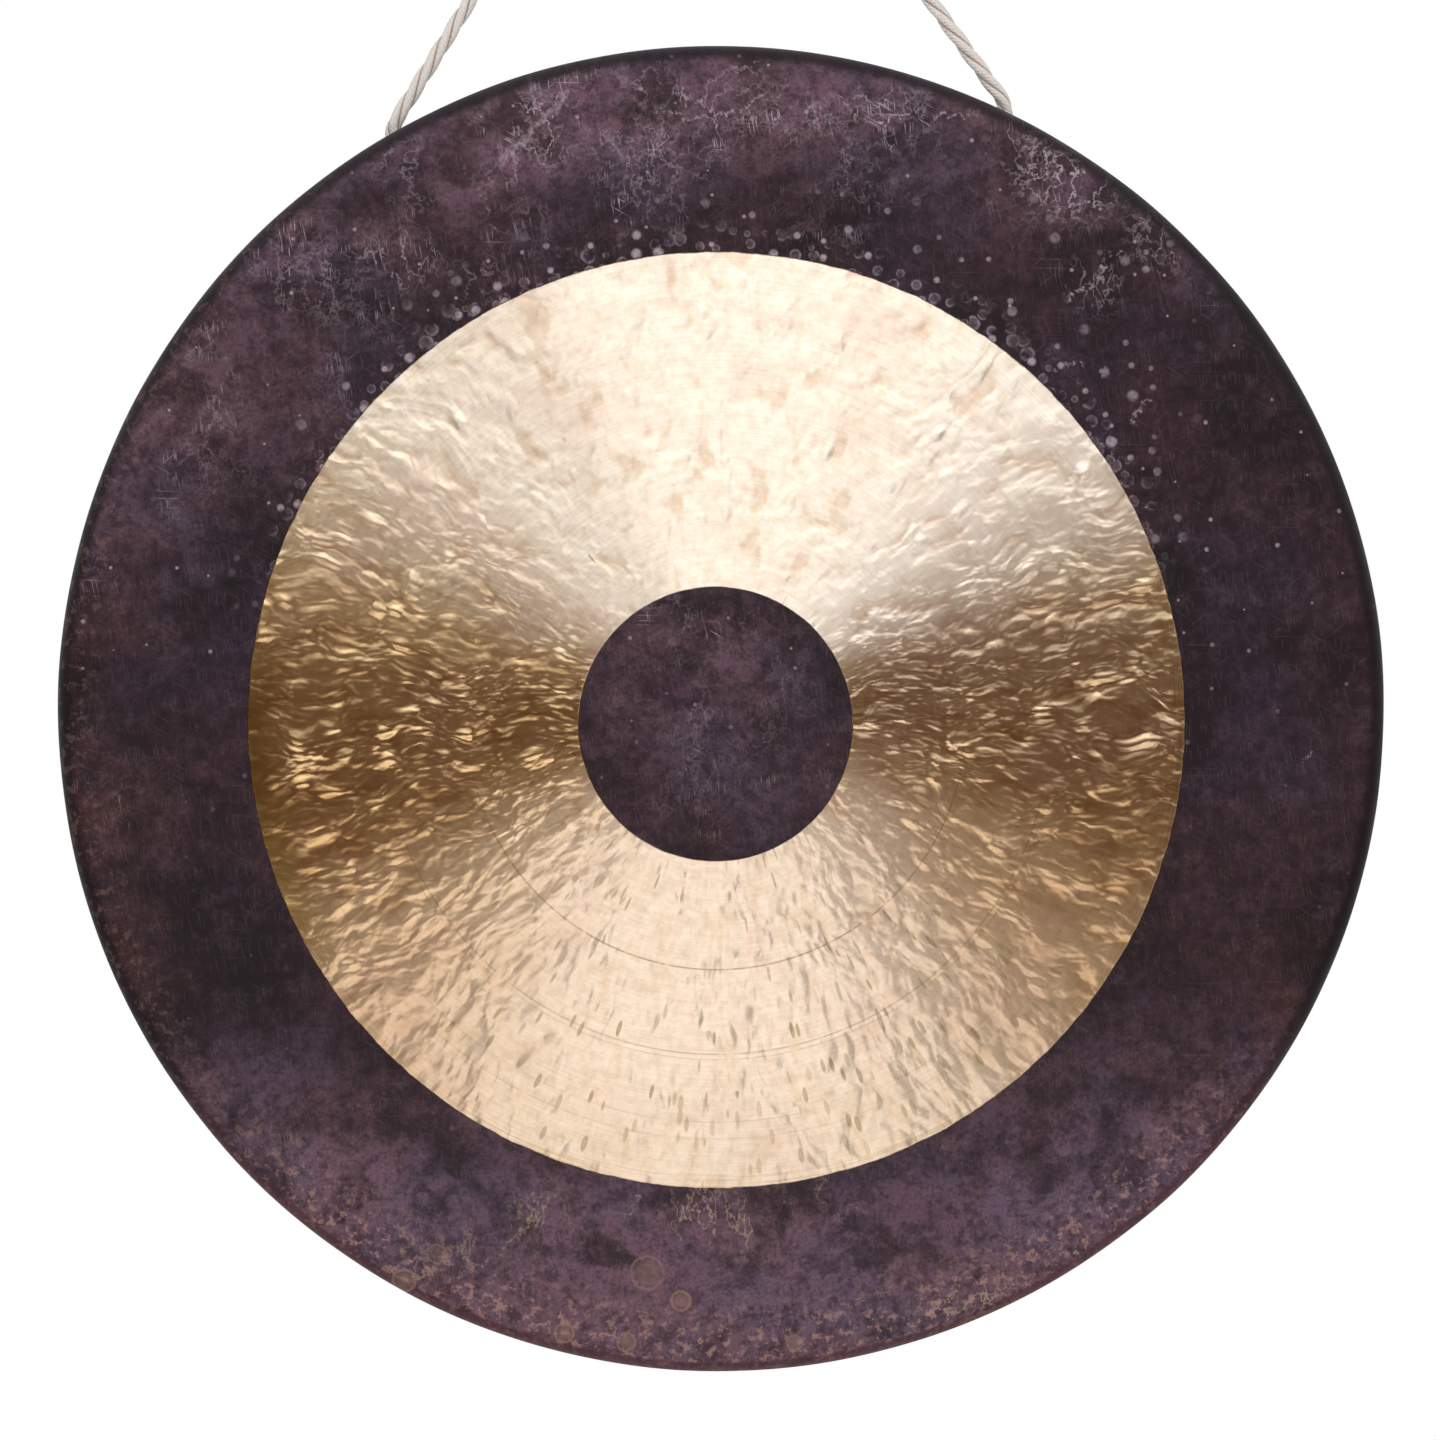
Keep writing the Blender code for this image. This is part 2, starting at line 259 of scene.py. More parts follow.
class NodeBuilder:
    """Adds nodes to one tree. An input that is a socket is linked, and any other is a value."""

    def __init__(self, tree):
        self.tree = tree

    def add(self, kind, inputs=None, **settings):
        node = self.tree.nodes.new(kind)
        for name, value in settings.items():
            setattr(node, name, value)
        for key, value in (inputs or {}).items():
            self.join(node.inputs[key], value)
        return node

    def join(self, socket, value):
        if isinstance(value, bpy.types.NodeSocket):
            self.tree.links.new(value, socket)
        else:
            socket.default_value = value

    def math(self, operation, *values, clamp=False):
        node = self.add(
            "ShaderNodeMath", dict(enumerate(values)), operation=operation, use_clamp=clamp,
        )
        return node.outputs[0]

    def fold(self, operation, values, clamp):
        """Joins values two by two. A clamp is set on the last step alone."""
        total = values[0]
        for i, value in enumerate(values[1:], 2):
            total = self.math(operation, total, value, clamp=clamp and i == len(values))
        return total

    def times(self, *values, clamp=False):
        return self.fold("MULTIPLY", values, clamp)

    def highest(self, *values, clamp=False):
        return self.fold("MAXIMUM", values, clamp)

    def times_plus(self, value, factor, added):
        return self.math("MULTIPLY_ADD", value, factor, added)

    def distance(self, value, middle):
        """How far a number is from another."""
        return self.math("ABSOLUTE", self.math("SUBTRACT", value, middle))

    def vector_math(self, operation, *values):
        node = self.add("ShaderNodeVectorMath", dict(enumerate(values)), operation=operation)
        return node.outputs["Value" if operation == "LENGTH" else "Vector"]

    def flattened(self, vector):
        return self.vector_math("MULTIPLY", vector, (1.0, 1.0, 0.0))

    def length(self, vector):
        return self.vector_math("LENGTH", vector)

    def length_from(self, vector, place):
        """How far a place is from another."""
        return self.length(self.vector_math("SUBTRACT", vector, place))

    def combined(self, *parts):
        return self.add("ShaderNodeCombineXYZ", dict(enumerate(parts))).outputs[0]

    def separated(self, vector):
        return self.add("ShaderNodeSeparateXYZ", {0: vector}).outputs

    def step(self, value, low, high, to_low=0.0, to_high=1.0):
        """Runs smoothly from one number to another while a value runs from low to high."""
        node = self.add(
            "ShaderNodeMapRange",
            {"Value": value, "From Min": low, "From Max": high, "To Min": to_low, "To Max": to_high},
            interpolation_type="SMOOTHSTEP",
        )
        return node.outputs["Result"]

    def noise(self, vector, scale, detail=2.0, roughness=0.5):
        node = self.add(
            "ShaderNodeTexNoise",
            {"Vector": vector, "Scale": scale, "Detail": detail, "Roughness": roughness},
        )
        return node.outputs["Fac"]

    def swirl(self, vector, scale, detail):
        """A direction that wanders from place to place."""
        node = self.add("ShaderNodeTexNoise", {"Vector": vector, "Scale": scale, "Detail": detail})
        return self.vector_math("SUBTRACT", node.outputs["Color"], (0.5, 0.5, 0.5))

    def cells(self, vector, scale, dimensions="3D"):
        """Distance to the middle of the nearest cell, and that cell's own random numbers."""
        node = self.add(
            "ShaderNodeTexVoronoi", {"Vector": vector, "Scale": scale}, voronoi_dimensions=dimensions,
        )
        picked = self.add("ShaderNodeSeparateColor", {0: node.outputs["Color"]}).outputs
        return node.outputs["Distance"], picked

    def mix(self, factor, first, second, blend="MIX"):
        """Mixes two colours. A colour that is not a socket is given as red, green and blue."""
        node = self.add("ShaderNodeMix", data_type="RGBA", blend_type=blend)
        named = {socket.identifier: socket for socket in node.inputs}
        self.join(named["Factor_Float"], factor)
        for key, value in (("A_Color", first), ("B_Color", second)):
            self.join(named[key], value if isinstance(value, bpy.types.NodeSocket) else colour4(value))
        return next(socket for socket in node.outputs if socket.identifier == "Result_Color")

    def place(self, vector, location=(0.0, 0.0, 0.0), rotation=(0.0, 0.0, 0.0),
              scale=(1.0, 1.0, 1.0), kind="POINT"):
        node = self.add(
            "ShaderNodeMapping",
            {"Vector": vector, "Location": location, "Rotation": rotation, "Scale": scale},
            vector_type=kind,
        )
        return node.outputs["Vector"]

    def object_place(self):
        return self.add("ShaderNodeTexCoord").outputs["Object"]

    def attribute(self, name):
        return self.add("ShaderNodeAttribute", attribute_name=name).outputs["Fac"]

    def effect(self, name, vector, **values):
        """Places a shared effect with this material's own values, and gives its outputs."""
        group = effect_group(name)
        return self.add("ShaderNodeGroup", {"Vector": vector, **values}, node_tree=group).outputs

    def surface(self, height, inputs):
        """Ends a material: one Principled surface whose relief is a height in metres."""
        bump = self.add("ShaderNodeBump", {"Height": height, "Strength": 1.0, "Distance": 1.0})
        shader = self.add("ShaderNodeBsdfPrincipled", {**inputs, "Normal": bump.outputs["Normal"]})
        self.add("ShaderNodeOutputMaterial", {"Surface": shader.outputs[0]})


def colour4(colour):
    return (*colour, 1.0)


def new_material(name):
    material = bpy.data.materials.new(name)
    material.use_nodes = True
    material.node_tree.nodes.clear()
    return material, NodeBuilder(material.node_tree)


def new_piece(name, shape, materials, sharp_angle=math.radians(35.0)):
    """A finished piece: its mesh is already in place in the frame, and its object at the origin."""
    mesh = bpy.data.meshes.new(name)
    shape.to_mesh(mesh)
    shape.free()
    mesh.shade_smooth()
    mesh.set_sharp_from_angle(angle=sharp_angle)
    for material in materials:
        mesh.materials.append(material)
    piece = bpy.data.objects.new(name, mesh)
    bpy.context.scene.collection.objects.link(piece)
    return piece


def face_sphere_radius(disc):
    """Radius of the gently crowned face, from its rise between the middle and the shoulder."""
    reach = disc.radius - disc.shoulder_radius
    return (reach ** 2 + disc.crown ** 2) / (2.0 * disc.crown)


def shoulder_centre(disc):
    """Radius and depth of the middle of the shoulder's bend, which the face meets smoothly."""
    radius = disc.radius - disc.shoulder_radius
    sphere = face_sphere_radius(disc)
    return radius, sphere - math.sqrt((sphere - disc.shoulder_radius) ** 2 - radius ** 2)


def shoulder_arc(disc, steps, first_thickness=0.0, last_thickness=0.0):
    """Points along the shoulder, from the face round to the rim, at a depth inside the metal."""
    radius, depth = shoulder_centre(disc)
    start = math.asin(radius / (face_sphere_radius(disc) - disc.shoulder_radius))
    sweep = math.pi / 2.0 + disc.rim_taper - start
    points = []
    for step in range(steps + 1):
        part = step / steps
        turn = start + sweep * part
        bend = disc.shoulder_radius - first_thickness - (last_thickness - first_thickness) * part
        points.append((radius + bend * math.sin(turn), depth - bend * math.cos(turn)))
    return points


def face_arc(disc, steps, thickness, edge_radius):
    """Points of the crowned face from the middle outwards, short of the shoulder."""
    sphere = face_sphere_radius(disc)
    points = []
    for step in range(steps):
        radius = edge_radius * step / steps
        points.append((radius, sphere - math.sqrt((sphere - thickness) ** 2 - radius ** 2)))
    return points


def rim_radius(disc, depth):
    """Outer radius of the straight part of the rim at a depth behind the face."""
    end_radius, end_depth = shoulder_arc(disc, 1)[-1]
    return end_radius - (depth - end_depth) * math.tan(disc.rim_taper)


def rim_wall(disc):
    return disc.rim_thickness / math.cos(disc.rim_taper)


def hole_radius_from_centre(disc):
    """How far the middle of the rim's wall at a cord hole is from the gong's own axis."""
    return rim_radius(disc, disc.hole_depth) - rim_wall(disc) / 2.0


def gong_centre(disc):
    """The middle of the struck face in the frame, hung under the line through its two holes."""
    height = hole_radius_from_centre(disc) * math.cos(disc.hole_angle)
    return HOLE_LINE - GONG_UP * height - GONG_BACK * disc.hole_depth


def gong_matrix(disc):
    """From the gong's own axes (right, back, up, from the middle of the face) to the frame's."""
    turned = Matrix((GONG_RIGHT, GONG_BACK, GONG_UP)).transposed().to_4x4()
    return Matrix.Translation(gong_centre(disc)) @ turned


# Places in the photograph, in its own pixels, and how they become metres on the face
OUTLINE_COLUMN = 720.5
OUTLINE_ROW = 709.0
PIXELS_PER_METRE = 1534.0
PHOTO_ROLL = math.radians(2.07)

# Middles of the bright ring and of the dark middle, off the gong's own: metres to the right and up
RING_OFFSET = (-0.0029, -0.0071)
MIDDLE_OFFSET = (-0.0036, -0.00965)
SCRIBED_CIRCLES = ((0.162, 0.65), (0.217, 0.45), (0.2205, 0.25), (0.261, 0.2), (0.272, 0.2))

# Soft patches in the dark skin: column, row, radius in metres and strength
PALE_HAZE = (
    (560, 120, 0.075, 0.7), (690, 110, 0.070, 0.8), (820, 110, 0.060, 0.6), (640, 170, 0.060, 0.5),
    (920, 110, 0.045, 0.5), (1070, 190, 0.040, 0.5), (1190, 280, 0.035, 0.5), (460, 200, 0.060, 0.4),
    (330, 290, 0.060, 0.3), (1000, 1290, 0.050, 0.6), (560, 1240, 0.060, 0.4), (760, 1290, 0.080, 0.4),
    (200, 400, 0.120, 0.80), (130, 560, 0.090, 0.75), (260, 1120, 0.080, 0.40), (715, 720, 0.130, 0.85),
    (330, 250, 0.080, 0.50), (110, 800, 0.070, 0.40), (690, 640, 0.085, 0.75), (300, 330, 0.110, 0.55),
    (140, 430, 0.090, 0.60), (480, 150, 0.080, 0.45), (240, 250, 0.070, 0.50),
)
RED_TINTS = (
    (85, 640, 0.060, 0.9), (95, 800, 0.070, 0.9), (130, 950, 0.060, 0.7), (1290, 1000, 0.060, 1.0),
    (1250, 1120, 0.060, 0.8), (1150, 1230, 0.050, 0.6), (250, 1160, 0.050, 0.6), (420, 1280, 0.050, 0.6),
)
BLUE_TINTS = (
    (200, 640, 0.090, 0.8), (1240, 700, 0.090, 0.9), (1270, 560, 0.060, 0.6), (640, 180, 0.050, 0.7),
    (900, 1230, 0.080, 0.6), (500, 1240, 0.060, 0.5), (700, 700, 0.060, 0.7),
)
PINK_PATCHES = (
    (905, 655, 0.060, 0.55), (985, 635, 0.060, 0.50), (1075, 640, 0.045, 0.35),
    (520, 590, 0.045, 0.30),
)
DOTTED = (
    (1000, 265, 0.080, 0.8), (1110, 390, 0.080, 0.6), (1150, 280, 0.050, 0.7),
    (640, 235, 0.060, 0.5), (860, 235, 0.060, 0.7), (470, 310, 0.050, 0.5),
)
VEINED = (
    (540, 1215, 0.034, 0.6), (700, 1215, 0.035, 0.9), (760, 1225, 0.035, 0.9), (880, 115, 0.030, 1.0),
    (1095, 285, 0.030, 0.6), (700, 110, 0.040, 0.8), (480, 1260, 0.030, 0.9), (545, 135, 0.035, 0.7),
    (1000, 120, 0.030, 0.7), (400, 260, 0.035, 0.6), (1160, 240, 0.030, 0.7), (840, 1190, 0.030, 0.6),
)
CRAZED = (
    (1050, 175, 0.040, 1.0), (1085, 190, 0.030, 0.9), (740, 75, 0.025, 0.6), (640, 80, 0.035, 0.4),
    (985, 1300, 0.035, 0.9), (940, 1310, 0.030, 0.7), (420, 1275, 0.030, 0.6), (400, 160, 0.030, 0.5),
    (1150, 225, 0.030, 0.5), (480, 280, 0.025, 0.4), (1100, 460, 0.020, 0.5),
)

# Round stains in the dark skin: column, row, radius in metres and strength
STAINS = (
    (648, 1271, 0.0125, 0.55), (681, 1299, 0.0070, 0.8), (405, 1279, 0.0085, 0.8), (565, 1331, 0.0070, 0.8),
    (627, 1340, 0.0065, 0.7), (795, 1341, 0.0060, 0.6), (438, 1252, 0.0065, 0.5),
)

# Single pale scrapes in the dark skin: from column and row to column and row, width in metres, strength
SCRAPES = (
    (500, 165, 568, 98, 0.0042, 0.75), (655, 112, 712, 122, 0.0022, 0.90),
    (712, 122, 765, 98, 0.0022, 0.90), (1065, 302, 1122, 258, 0.0016, 0.90),
    (1108, 255, 1172, 259, 0.0009, 0.80), (932, 119, 980, 113, 0.0018, 0.80),
    (470, 1272, 515, 1238, 0.0016, 0.60), (515, 1238, 556, 1192, 0.0020, 0.70),
    (640, 1186, 626, 1228, 0.0016, 0.55), (1052, 370, 1085, 362, 0.0020, 0.70),
    (1130, 425, 1145, 398, 0.0022, 0.70), (480, 190, 500, 240, 0.0014, 0.50),
    (790, 75, 770, 118, 0.0014, 0.50), (1295, 770, 1315, 745, 0.0012, 0.50),
    (140, 1000, 160, 1060, 0.0012, 0.40),
)

# Sets of scratches: angle, length, width and the share of places that have one
SCRATCH_SETS = (
    (math.radians(88.0), 0.0080, 0.00060, 0.26),
    (math.radians(79.0), 0.0140, 0.00055, 0.14),
    (math.radians(33.0), 0.0140, 0.00050, 0.06),
    (math.radians(-38.0), 0.0170, 0.00050, 0.05),
    (math.radians(3.0), 0.0260, 0.00045, 0.04),
)

# How much more than the smooth shape the lathed ring falls away outwards, as a slope
FACE_DOMING = 0.10

# Hammered relief of the sheet: heights in metres, waves to the metre, and a shift in the noise
WARPS = ((0.00055, 7.0, 0.3), (0.00028, 17.0, 1.7))
BLOW_HEIGHT = 0.00016
BLOWS_AROUND = 17.0
BLOWS_OUTWARD = 34.0
DENT_HEIGHT = 0.00010
DENTS_PER_METRE = 44.0
UNHAMMERED_RADIUS = 0.05
RELIEF_ENDS_FROM = 0.012
RELIEF_ENDS_OVER = 0.02
OUT_OF_ROUND = 0.0010
OUTLINE_WAVES = 0.0004

DISC_TURN_STEPS = 480
FRONT_RINGS = 104
BACK_RINGS = 52
SHOULDER_RINGS = 9
RIM_RINGS = 8
EDGE_CHAMFER = 0.0006
HOLE_SIDES = 32
HOLE_CUTTER_LENGTH = 0.03
JOIN_DISTANCE = 0.00002


def disc_profile(disc):
    """(radius, depth) round the section: front, shoulder, rim, back edge, and back to the middle."""
    outer = shoulder_arc(disc, SHOULDER_RINGS)
    inner = shoulder_arc(disc, SHOULDER_RINGS, disc.face_thickness, disc.rim_thickness)
    inner.reverse()
    wall = rim_wall(disc)
    end_depth = disc.rim_depth - EDGE_CHAMFER
    start_depth = outer[-1][1]
    depths = [
        start_depth + (end_depth - start_depth) * step / RIM_RINGS
        for step in range(1, RIM_RINGS + 1)
    ]
    rim_out = [(rim_radius(disc, depth), depth) for depth in depths]
    rim_in = [(radius - wall, depth) for radius, depth in reversed(rim_out)]
    back_radius = rim_radius(disc, disc.rim_depth)
    back_edge = [
        (back_radius - EDGE_CHAMFER, disc.rim_depth),
        (back_radius - wall + EDGE_CHAMFER, disc.rim_depth),
    ]
    front = face_arc(disc, FRONT_RINGS, 0.0, outer[0][0])
    back = face_arc(disc, BACK_RINGS, disc.face_thickness, inner[-1][0])
    back.reverse()
    return front + outer + rim_out + back_edge + rim_in[:-1] + inner + back


def hammered_height(x, z):
    """How far the hand-hammered sheet stands off its smooth shape at a place on the face."""
    radius = math.hypot(x, z)
    turn = math.atan2(z, x)
    warp = sum(height * noise.noise(Vector((x, z, shift)) * waves) for height, waves, shift in WARPS)
    around = Vector((math.cos(turn), math.sin(turn), 0.0)) * BLOWS_AROUND
    blows = noise.noise(around + Vector((0.0, 0.0, radius * BLOWS_OUTWARD + 5.0)))
    dents = noise.noise(Vector((x, z, 4.1)) * DENTS_PER_METRE)
    fade = min(1.0, radius / UNHAMMERED_RADIUS)
    return warp + fade * (BLOW_HEIGHT * blows + DENT_HEIGHT * dents)


def outline_error(turn):
    """How far the hammered outline is from a true circle in one direction."""
    around = Vector((math.cos(turn), math.sin(turn), 0.0))
    out_of_round = noise.noise(around * 1.3 + Vector((0.0, 0.0, 9.0)))
    return OUT_OF_ROUND * out_of_round + OUTLINE_WAVES * noise.noise(around * 6.0)


def shape_disc(disc):
    """The turned disc with its hammered relief, in the gong's own axes."""
    shape = bmesh.new()
    corners = [shape.verts.new((radius, depth, 0.0)) for radius, depth in disc_profile(disc)]
    for start, end in zip(corners, corners[1:]):
        shape.edges.new((start, end))
    bmesh.ops.spin(
        shape, geom=shape.verts[:] + shape.edges[:], cent=(0.0, 0.0, 0.0), axis=(0.0, 1.0, 0.0),
        angle=2.0 * math.pi, steps=DISC_TURN_STEPS, use_merge=True,
    )
    bmesh.ops.remove_doubles(shape, verts=shape.verts[:], dist=JOIN_DISTANCE)
    bmesh.ops.recalc_face_normals(shape, faces=shape.faces[:])
    face_edge = disc.radius - disc.shoulder_radius
    for face in shape.faces:
        middle = face.calc_center_median()
        outward = Vector((middle.x, 0.0, middle.z)).normalized()
        inside = face.normal.y - face.normal.dot(outward)
        on_edge = middle.y > disc.rim_depth - 2.0 * EDGE_CHAMFER
        face.material_index = 1 if inside > 0.5 and not on_edge else 0
    for corner in shape.verts:
        radius = math.hypot(corner.co.x, corner.co.z)
        if radius > 0.0:
            share = min(1.0, radius / face_edge)
            error = outline_error(math.atan2(corner.co.z, corner.co.x)) * share ** 4
            corner.co.x *= 1.0 + error / radius
            corner.co.z *= 1.0 + error / radius
        rim_share = min(1.0, max(0.0, (corner.co.y - RELIEF_ENDS_FROM) / RELIEF_ENDS_OVER))
        corner.co.y += hammered_height(corner.co.x, corner.co.z) * (1.0 - rim_share)
    return shape


def cut_cord_holes(piece, disc):
    """Drills both cord holes through the rim, and keeps the result as the piece's own mesh."""
    cutters = []
    for side in (1, -1):
        shape = bmesh.new()
        bmesh.ops.create_cone(
            shape, cap_ends=True, segments=HOLE_SIDES,
            radius1=disc.hole_radius, radius2=disc.hole_radius, depth=HOLE_CUTTER_LENGTH,
        )
        across = side * hole_radius_from_centre(disc) * math.sin(disc.hole_angle)
        up = hole_radius_from_centre(disc) * math.cos(disc.hole_angle)
        place = gong_matrix(disc) @ Matrix.Translation((across, disc.hole_depth, up))
        place = place @ Matrix.Rotation(side * disc.hole_angle, 4, "Y")
        bmesh.ops.transform(shape, matrix=place, verts=shape.verts[:])
        cutter = new_piece("hole_cutter", shape, [])
        drill = piece.modifiers.new("cord_hole", "BOOLEAN")
        drill.operation = "DIFFERENCE"
        drill.solver = "EXACT"
        drill.object = cutter
        cutters.append(cutter)
    bpy.context.view_layer.update()
    drilled = bpy.data.meshes.new_from_object(
        piece.evaluated_get(bpy.context.evaluated_depsgraph_get()),
    )
    piece.modifiers.clear()
    piece.data = drilled
    drilled.name = piece.name
    for cutter in cutters:
        bpy.data.objects.remove(cutter, do_unlink=True)


def smooth_route(points, sample):
    """Points read from one smooth curve through the route's own points."""
    route = [Vector(point) for point in points]
    spans = [(b - a).length for a, b in zip(route, route[1:])]
    tangents = [(route[1] - route[0]) / spans[0]]
    for i in range(1, len(route) - 1):
        before = (route[i] - route[i - 1]) / spans[i - 1]
        after = (route[i + 1] - route[i]) / spans[i]
        tangents.append((before * spans[i] + after * spans[i - 1]) / (spans[i] + spans[i - 1]))
    tangents.append((route[-1] - route[-2]) / spans[-1])
    smooth = [route[0]]
    for i, span in enumerate(spans):
        steps = max(1, round(span / sample))
        for step in range(1, steps + 1):
            t = step / steps
            smooth.append(
                route[i] * (2 * t ** 3 - 3 * t ** 2 + 1)
                + tangents[i] * span * (t ** 3 - 2 * t ** 2 + t)
                + route[i + 1] * (3 * t ** 2 - 2 * t ** 3)
                + tangents[i + 1] * span * (t ** 3 - t ** 2)
            )
    return smooth


def strand_outline(cord, turn):
    """Radius of the laid cord's section in one direction, measured from a strand's own middle."""
    share = 2.0 * math.pi / cord.strands
    off = (turn + share / 2.0) % share - share / 2.0
    centre = cord.radius - cord.strand_radius
    return centre * math.cos(off) + math.sqrt(cord.strand_radius ** 2 - (centre * math.sin(off)) ** 2)


def extrude_through(shape, ring, places):
    """Extrudes a ring of corners from place to place, closes both ends and gives each ring's corners."""
    rings = [list(ring)]
    edges = shape.edges[:]
    before = Matrix.Identity(4)
    for i, place in enumerate(places):
        if i:
            grown = bmesh.ops.extrude_edge_only(shape, edges=edges)["geom"]
            rings.append([part for part in grown if isinstance(part, bmesh.types.BMVert)])
            fresh = set(rings[-1])
            edges = [
                part for part in grown
                if isinstance(part, bmesh.types.BMEdge) and fresh.issuperset(part.verts)
            ]
        bmesh.ops.transform(shape, matrix=place @ before.inverted(), verts=rings[-1])
        before = place
    bmesh.ops.holes_fill(shape, edges=[edge for edge in shape.edges if edge.is_boundary], sides=0)
    bmesh.ops.recalc_face_normals(shape, faces=shape.faces[:])
    return rings


def lay_stations(cord, route, strand_side=None):
    """Each station of a laid cord: its place, and its section turned with the lay of the strands.

    strand_side points from the cord's middle to its first strand at the first station.
    """
    side = strand_side or Vector((0.0, 1.0, 0.0))
    stations = []
    length = 0.0
    for i, place in enumerate(route):
        ahead = route[min(i + 1, len(route) - 1)] - route[max(i - 1, 0)]
        ahead.normalize()
        side = (side - ahead * side.dot(ahead)).normalized()
        if i:
            length += (place - route[i - 1]).length
        turned = Matrix((side, ahead.cross(side), ahead)).transposed().to_4x4()
        lay = Matrix.Rotation(-2.0 * math.pi * length / cord.pitch, 4, "Z")
        stations.append((length, Matrix.Translation(place) @ turned @ lay))
    return stations


def sweep_laid_cord(cord, stations, sizes=None):
    """A laid cord's skin: its section is extruded from station to station.

    sizes gives each station's share of the full thickness, for a cord that is pressed or frayed.
    """
    sides = cord.strands * CORD_SIDES_PER_STRAND
    shape = bmesh.new()
    cosine = shape.verts.layers.float.new("around_cos")
    sine = shape.verts.layers.float.new("around_sin")
    along = shape.verts.layers.float.new("along")
    groove = shape.verts.layers.float.new("groove")
    ring = bmesh.ops.create_circle(shape, segments=sides, radius=cord.radius)["verts"]
    for corner in ring:
        turn = math.atan2(corner.co.y, corner.co.x)
        reach = strand_outline(cord, turn)
        corner[cosine] = math.cos(turn)
        corner[sine] = math.sin(turn)
        corner[groove] = (cord.radius - reach) / cord.radius
        corner.co *= reach / cord.radius
    places = [
        station @ Matrix.Diagonal((*([sizes[i] if sizes else 1.0] * 2), 1.0, 1.0))
        for i, (_, station) in enumerate(stations)
    ]
    rings = extrude_through(shape, ring, places)
    for (length, _), corners in zip(stations, rings):
        for corner in corners:
            corner[along] = length
    return shape


def draw_knot_tight():
    """Middle line of an overhand knot along Z, whose two ends are drawn apart until it is tight."""
    run = np.linspace(-2.15, 2.15, KNOT_POINTS)
    path = np.stack(
        [run ** 3 - 3.0 * run, run ** 4 - 4.0 * run ** 2, 0.55 * (run ** 5 - 10.0 * run)], axis=1)
    path *= KNOT_CORD_LENGTH / np.linalg.norm(np.diff(path, axis=0), axis=1).sum()
    along = np.concatenate([[0.0], np.cumsum(np.linalg.norm(np.diff(path, axis=0), axis=1))])
    even = np.linspace(0.0, along[-1], KNOT_POINTS)
    path = np.stack([np.interp(even, along, path[:, k]) for k in range(3)], axis=1)
    step = KNOT_CORD_LENGTH / (KNOT_POINTS - 1)
    least_chord = 2.0 * step * (1.0 - (step / (0.55 * KNOT_SPACING)) ** 2 / 6.0)
    places = np.arange(KNOT_POINTS)
    apart = math.ceil(0.5 * math.pi * KNOT_SPACING / step)
    can_touch = np.triu(np.abs(places[:, None] - places[None, :]) >= apart)
    for _ in range(KNOT_ROUNDS):
        path[0] += (-0.2 * path[0, 0], -0.2 * path[0, 1], 0.06 * step * np.sign(path[0, 2]))
        path[-1] += (-0.2 * path[-1, 0], -0.2 * path[-1, 1], 0.06 * step * np.sign(path[-1, 2]))
        for _ in range(6):
            for first in (0, 1):
                count = (KNOT_POINTS - first) // 2
                ahead = path[first + 1:first + 2 * count:2]
                behind = path[first:first + 2 * count - 1:2]
                gap = ahead - behind
                size = np.linalg.norm(gap, axis=1, keepdims=True)
                move = gap * (0.5 * (size - step) / size)
                behind += move
                ahead -= move
            gap = path[2:] - path[:-2]
            size = np.linalg.norm(gap, axis=1, keepdims=True)
            move = np.where(size < least_chord, gap * (0.25 * (size - least_chord) / size), 0.0)
            path[:-2] += move
            path[2:] -= move
            gap = path[None, :, :] - path[:, None, :]
            size = np.linalg.norm(gap, axis=2)
            one, other = np.nonzero(can_touch & (size < KNOT_SPACING))
            close = size[one, other]
            push = gap[one, other] * (0.25 * (KNOT_SPACING - close) / close)[:, None]
            np.add.at(path, one, -push)
            np.add.at(path, other, push)
    if path[0, 2] < path[-1, 2]:
        path = path[::-1]
    return [Vector(point) for point in path.tolist()]


def knot_route(disc, knot, start, heading, side, turn):
    """Points from the cord's end in a rim hole, through the knot inside the rim, to the tail's end."""
    outward = GONG_RIGHT * (side * math.sin(disc.hole_angle)) + GONG_UP * math.cos(disc.hole_angle)
    seat = outward * math.cos(disc.rim_taper) + GONG_BACK * math.sin(disc.rim_taper)
    across = (GONG_BACK - seat * GONG_BACK.dot(seat)).normalized()
    across.rotate(Matrix.Rotation(turn, 3, seat))
    hole = HOLE_LINE + GONG_RIGHT * (side * hole_radius_from_centre(disc) * math.sin(disc.hole_angle))
    middle = hole - seat * (disc.rim_thickness / 2.0 + KNOT_REACH)
    entry = next(point for point in knot if point.z < KNOT_USED)
    place = Matrix((across.cross(seat), across, seat)).transposed()
    points = [
        middle + place @ (point - Vector((entry.x, entry.y, 0.0)))
        for point in knot if abs(point.z) < KNOT_USED
    ]
    lean = GONG_BACK * math.sin(TAIL_LEAN_BACK) - GONG_UP * math.cos(TAIL_LEAN_BACK)
    leave = (points[-1] - points[-2]).normalized()
    points += [
        points[-1] + leave * TAIL_DROP * share * (1.0 - share) + lean * TAIL_DROP * share ** 1.3
        for share in TAIL_SHARES
    ]
    return [start - heading * KNOT_OVERLAP, start + heading * KNOT_LEAD] + points


def knot_sizes(stations):
    """Shares of the cord's full thickness along a knot: pressed where it is tied, frayed at its end."""
    total = stations[-1][0]
    sizes = []
    for length, _ in stations:
        left = total - length
        pressed = min(1.0, max(0.0, length / KNOT_PRESSED_FROM))
        pressed *= min(1.0, max(0.0, left / KNOT_PRESSED_TO))
        frayed = max(0.0, 1.0 - left / FRAYED_LENGTH)
        sizes.append(KNOT_LOOSE - (KNOT_LOOSE - KNOT_PRESSED) * pressed + FRAYED_SWELL * frayed)
    return sizes


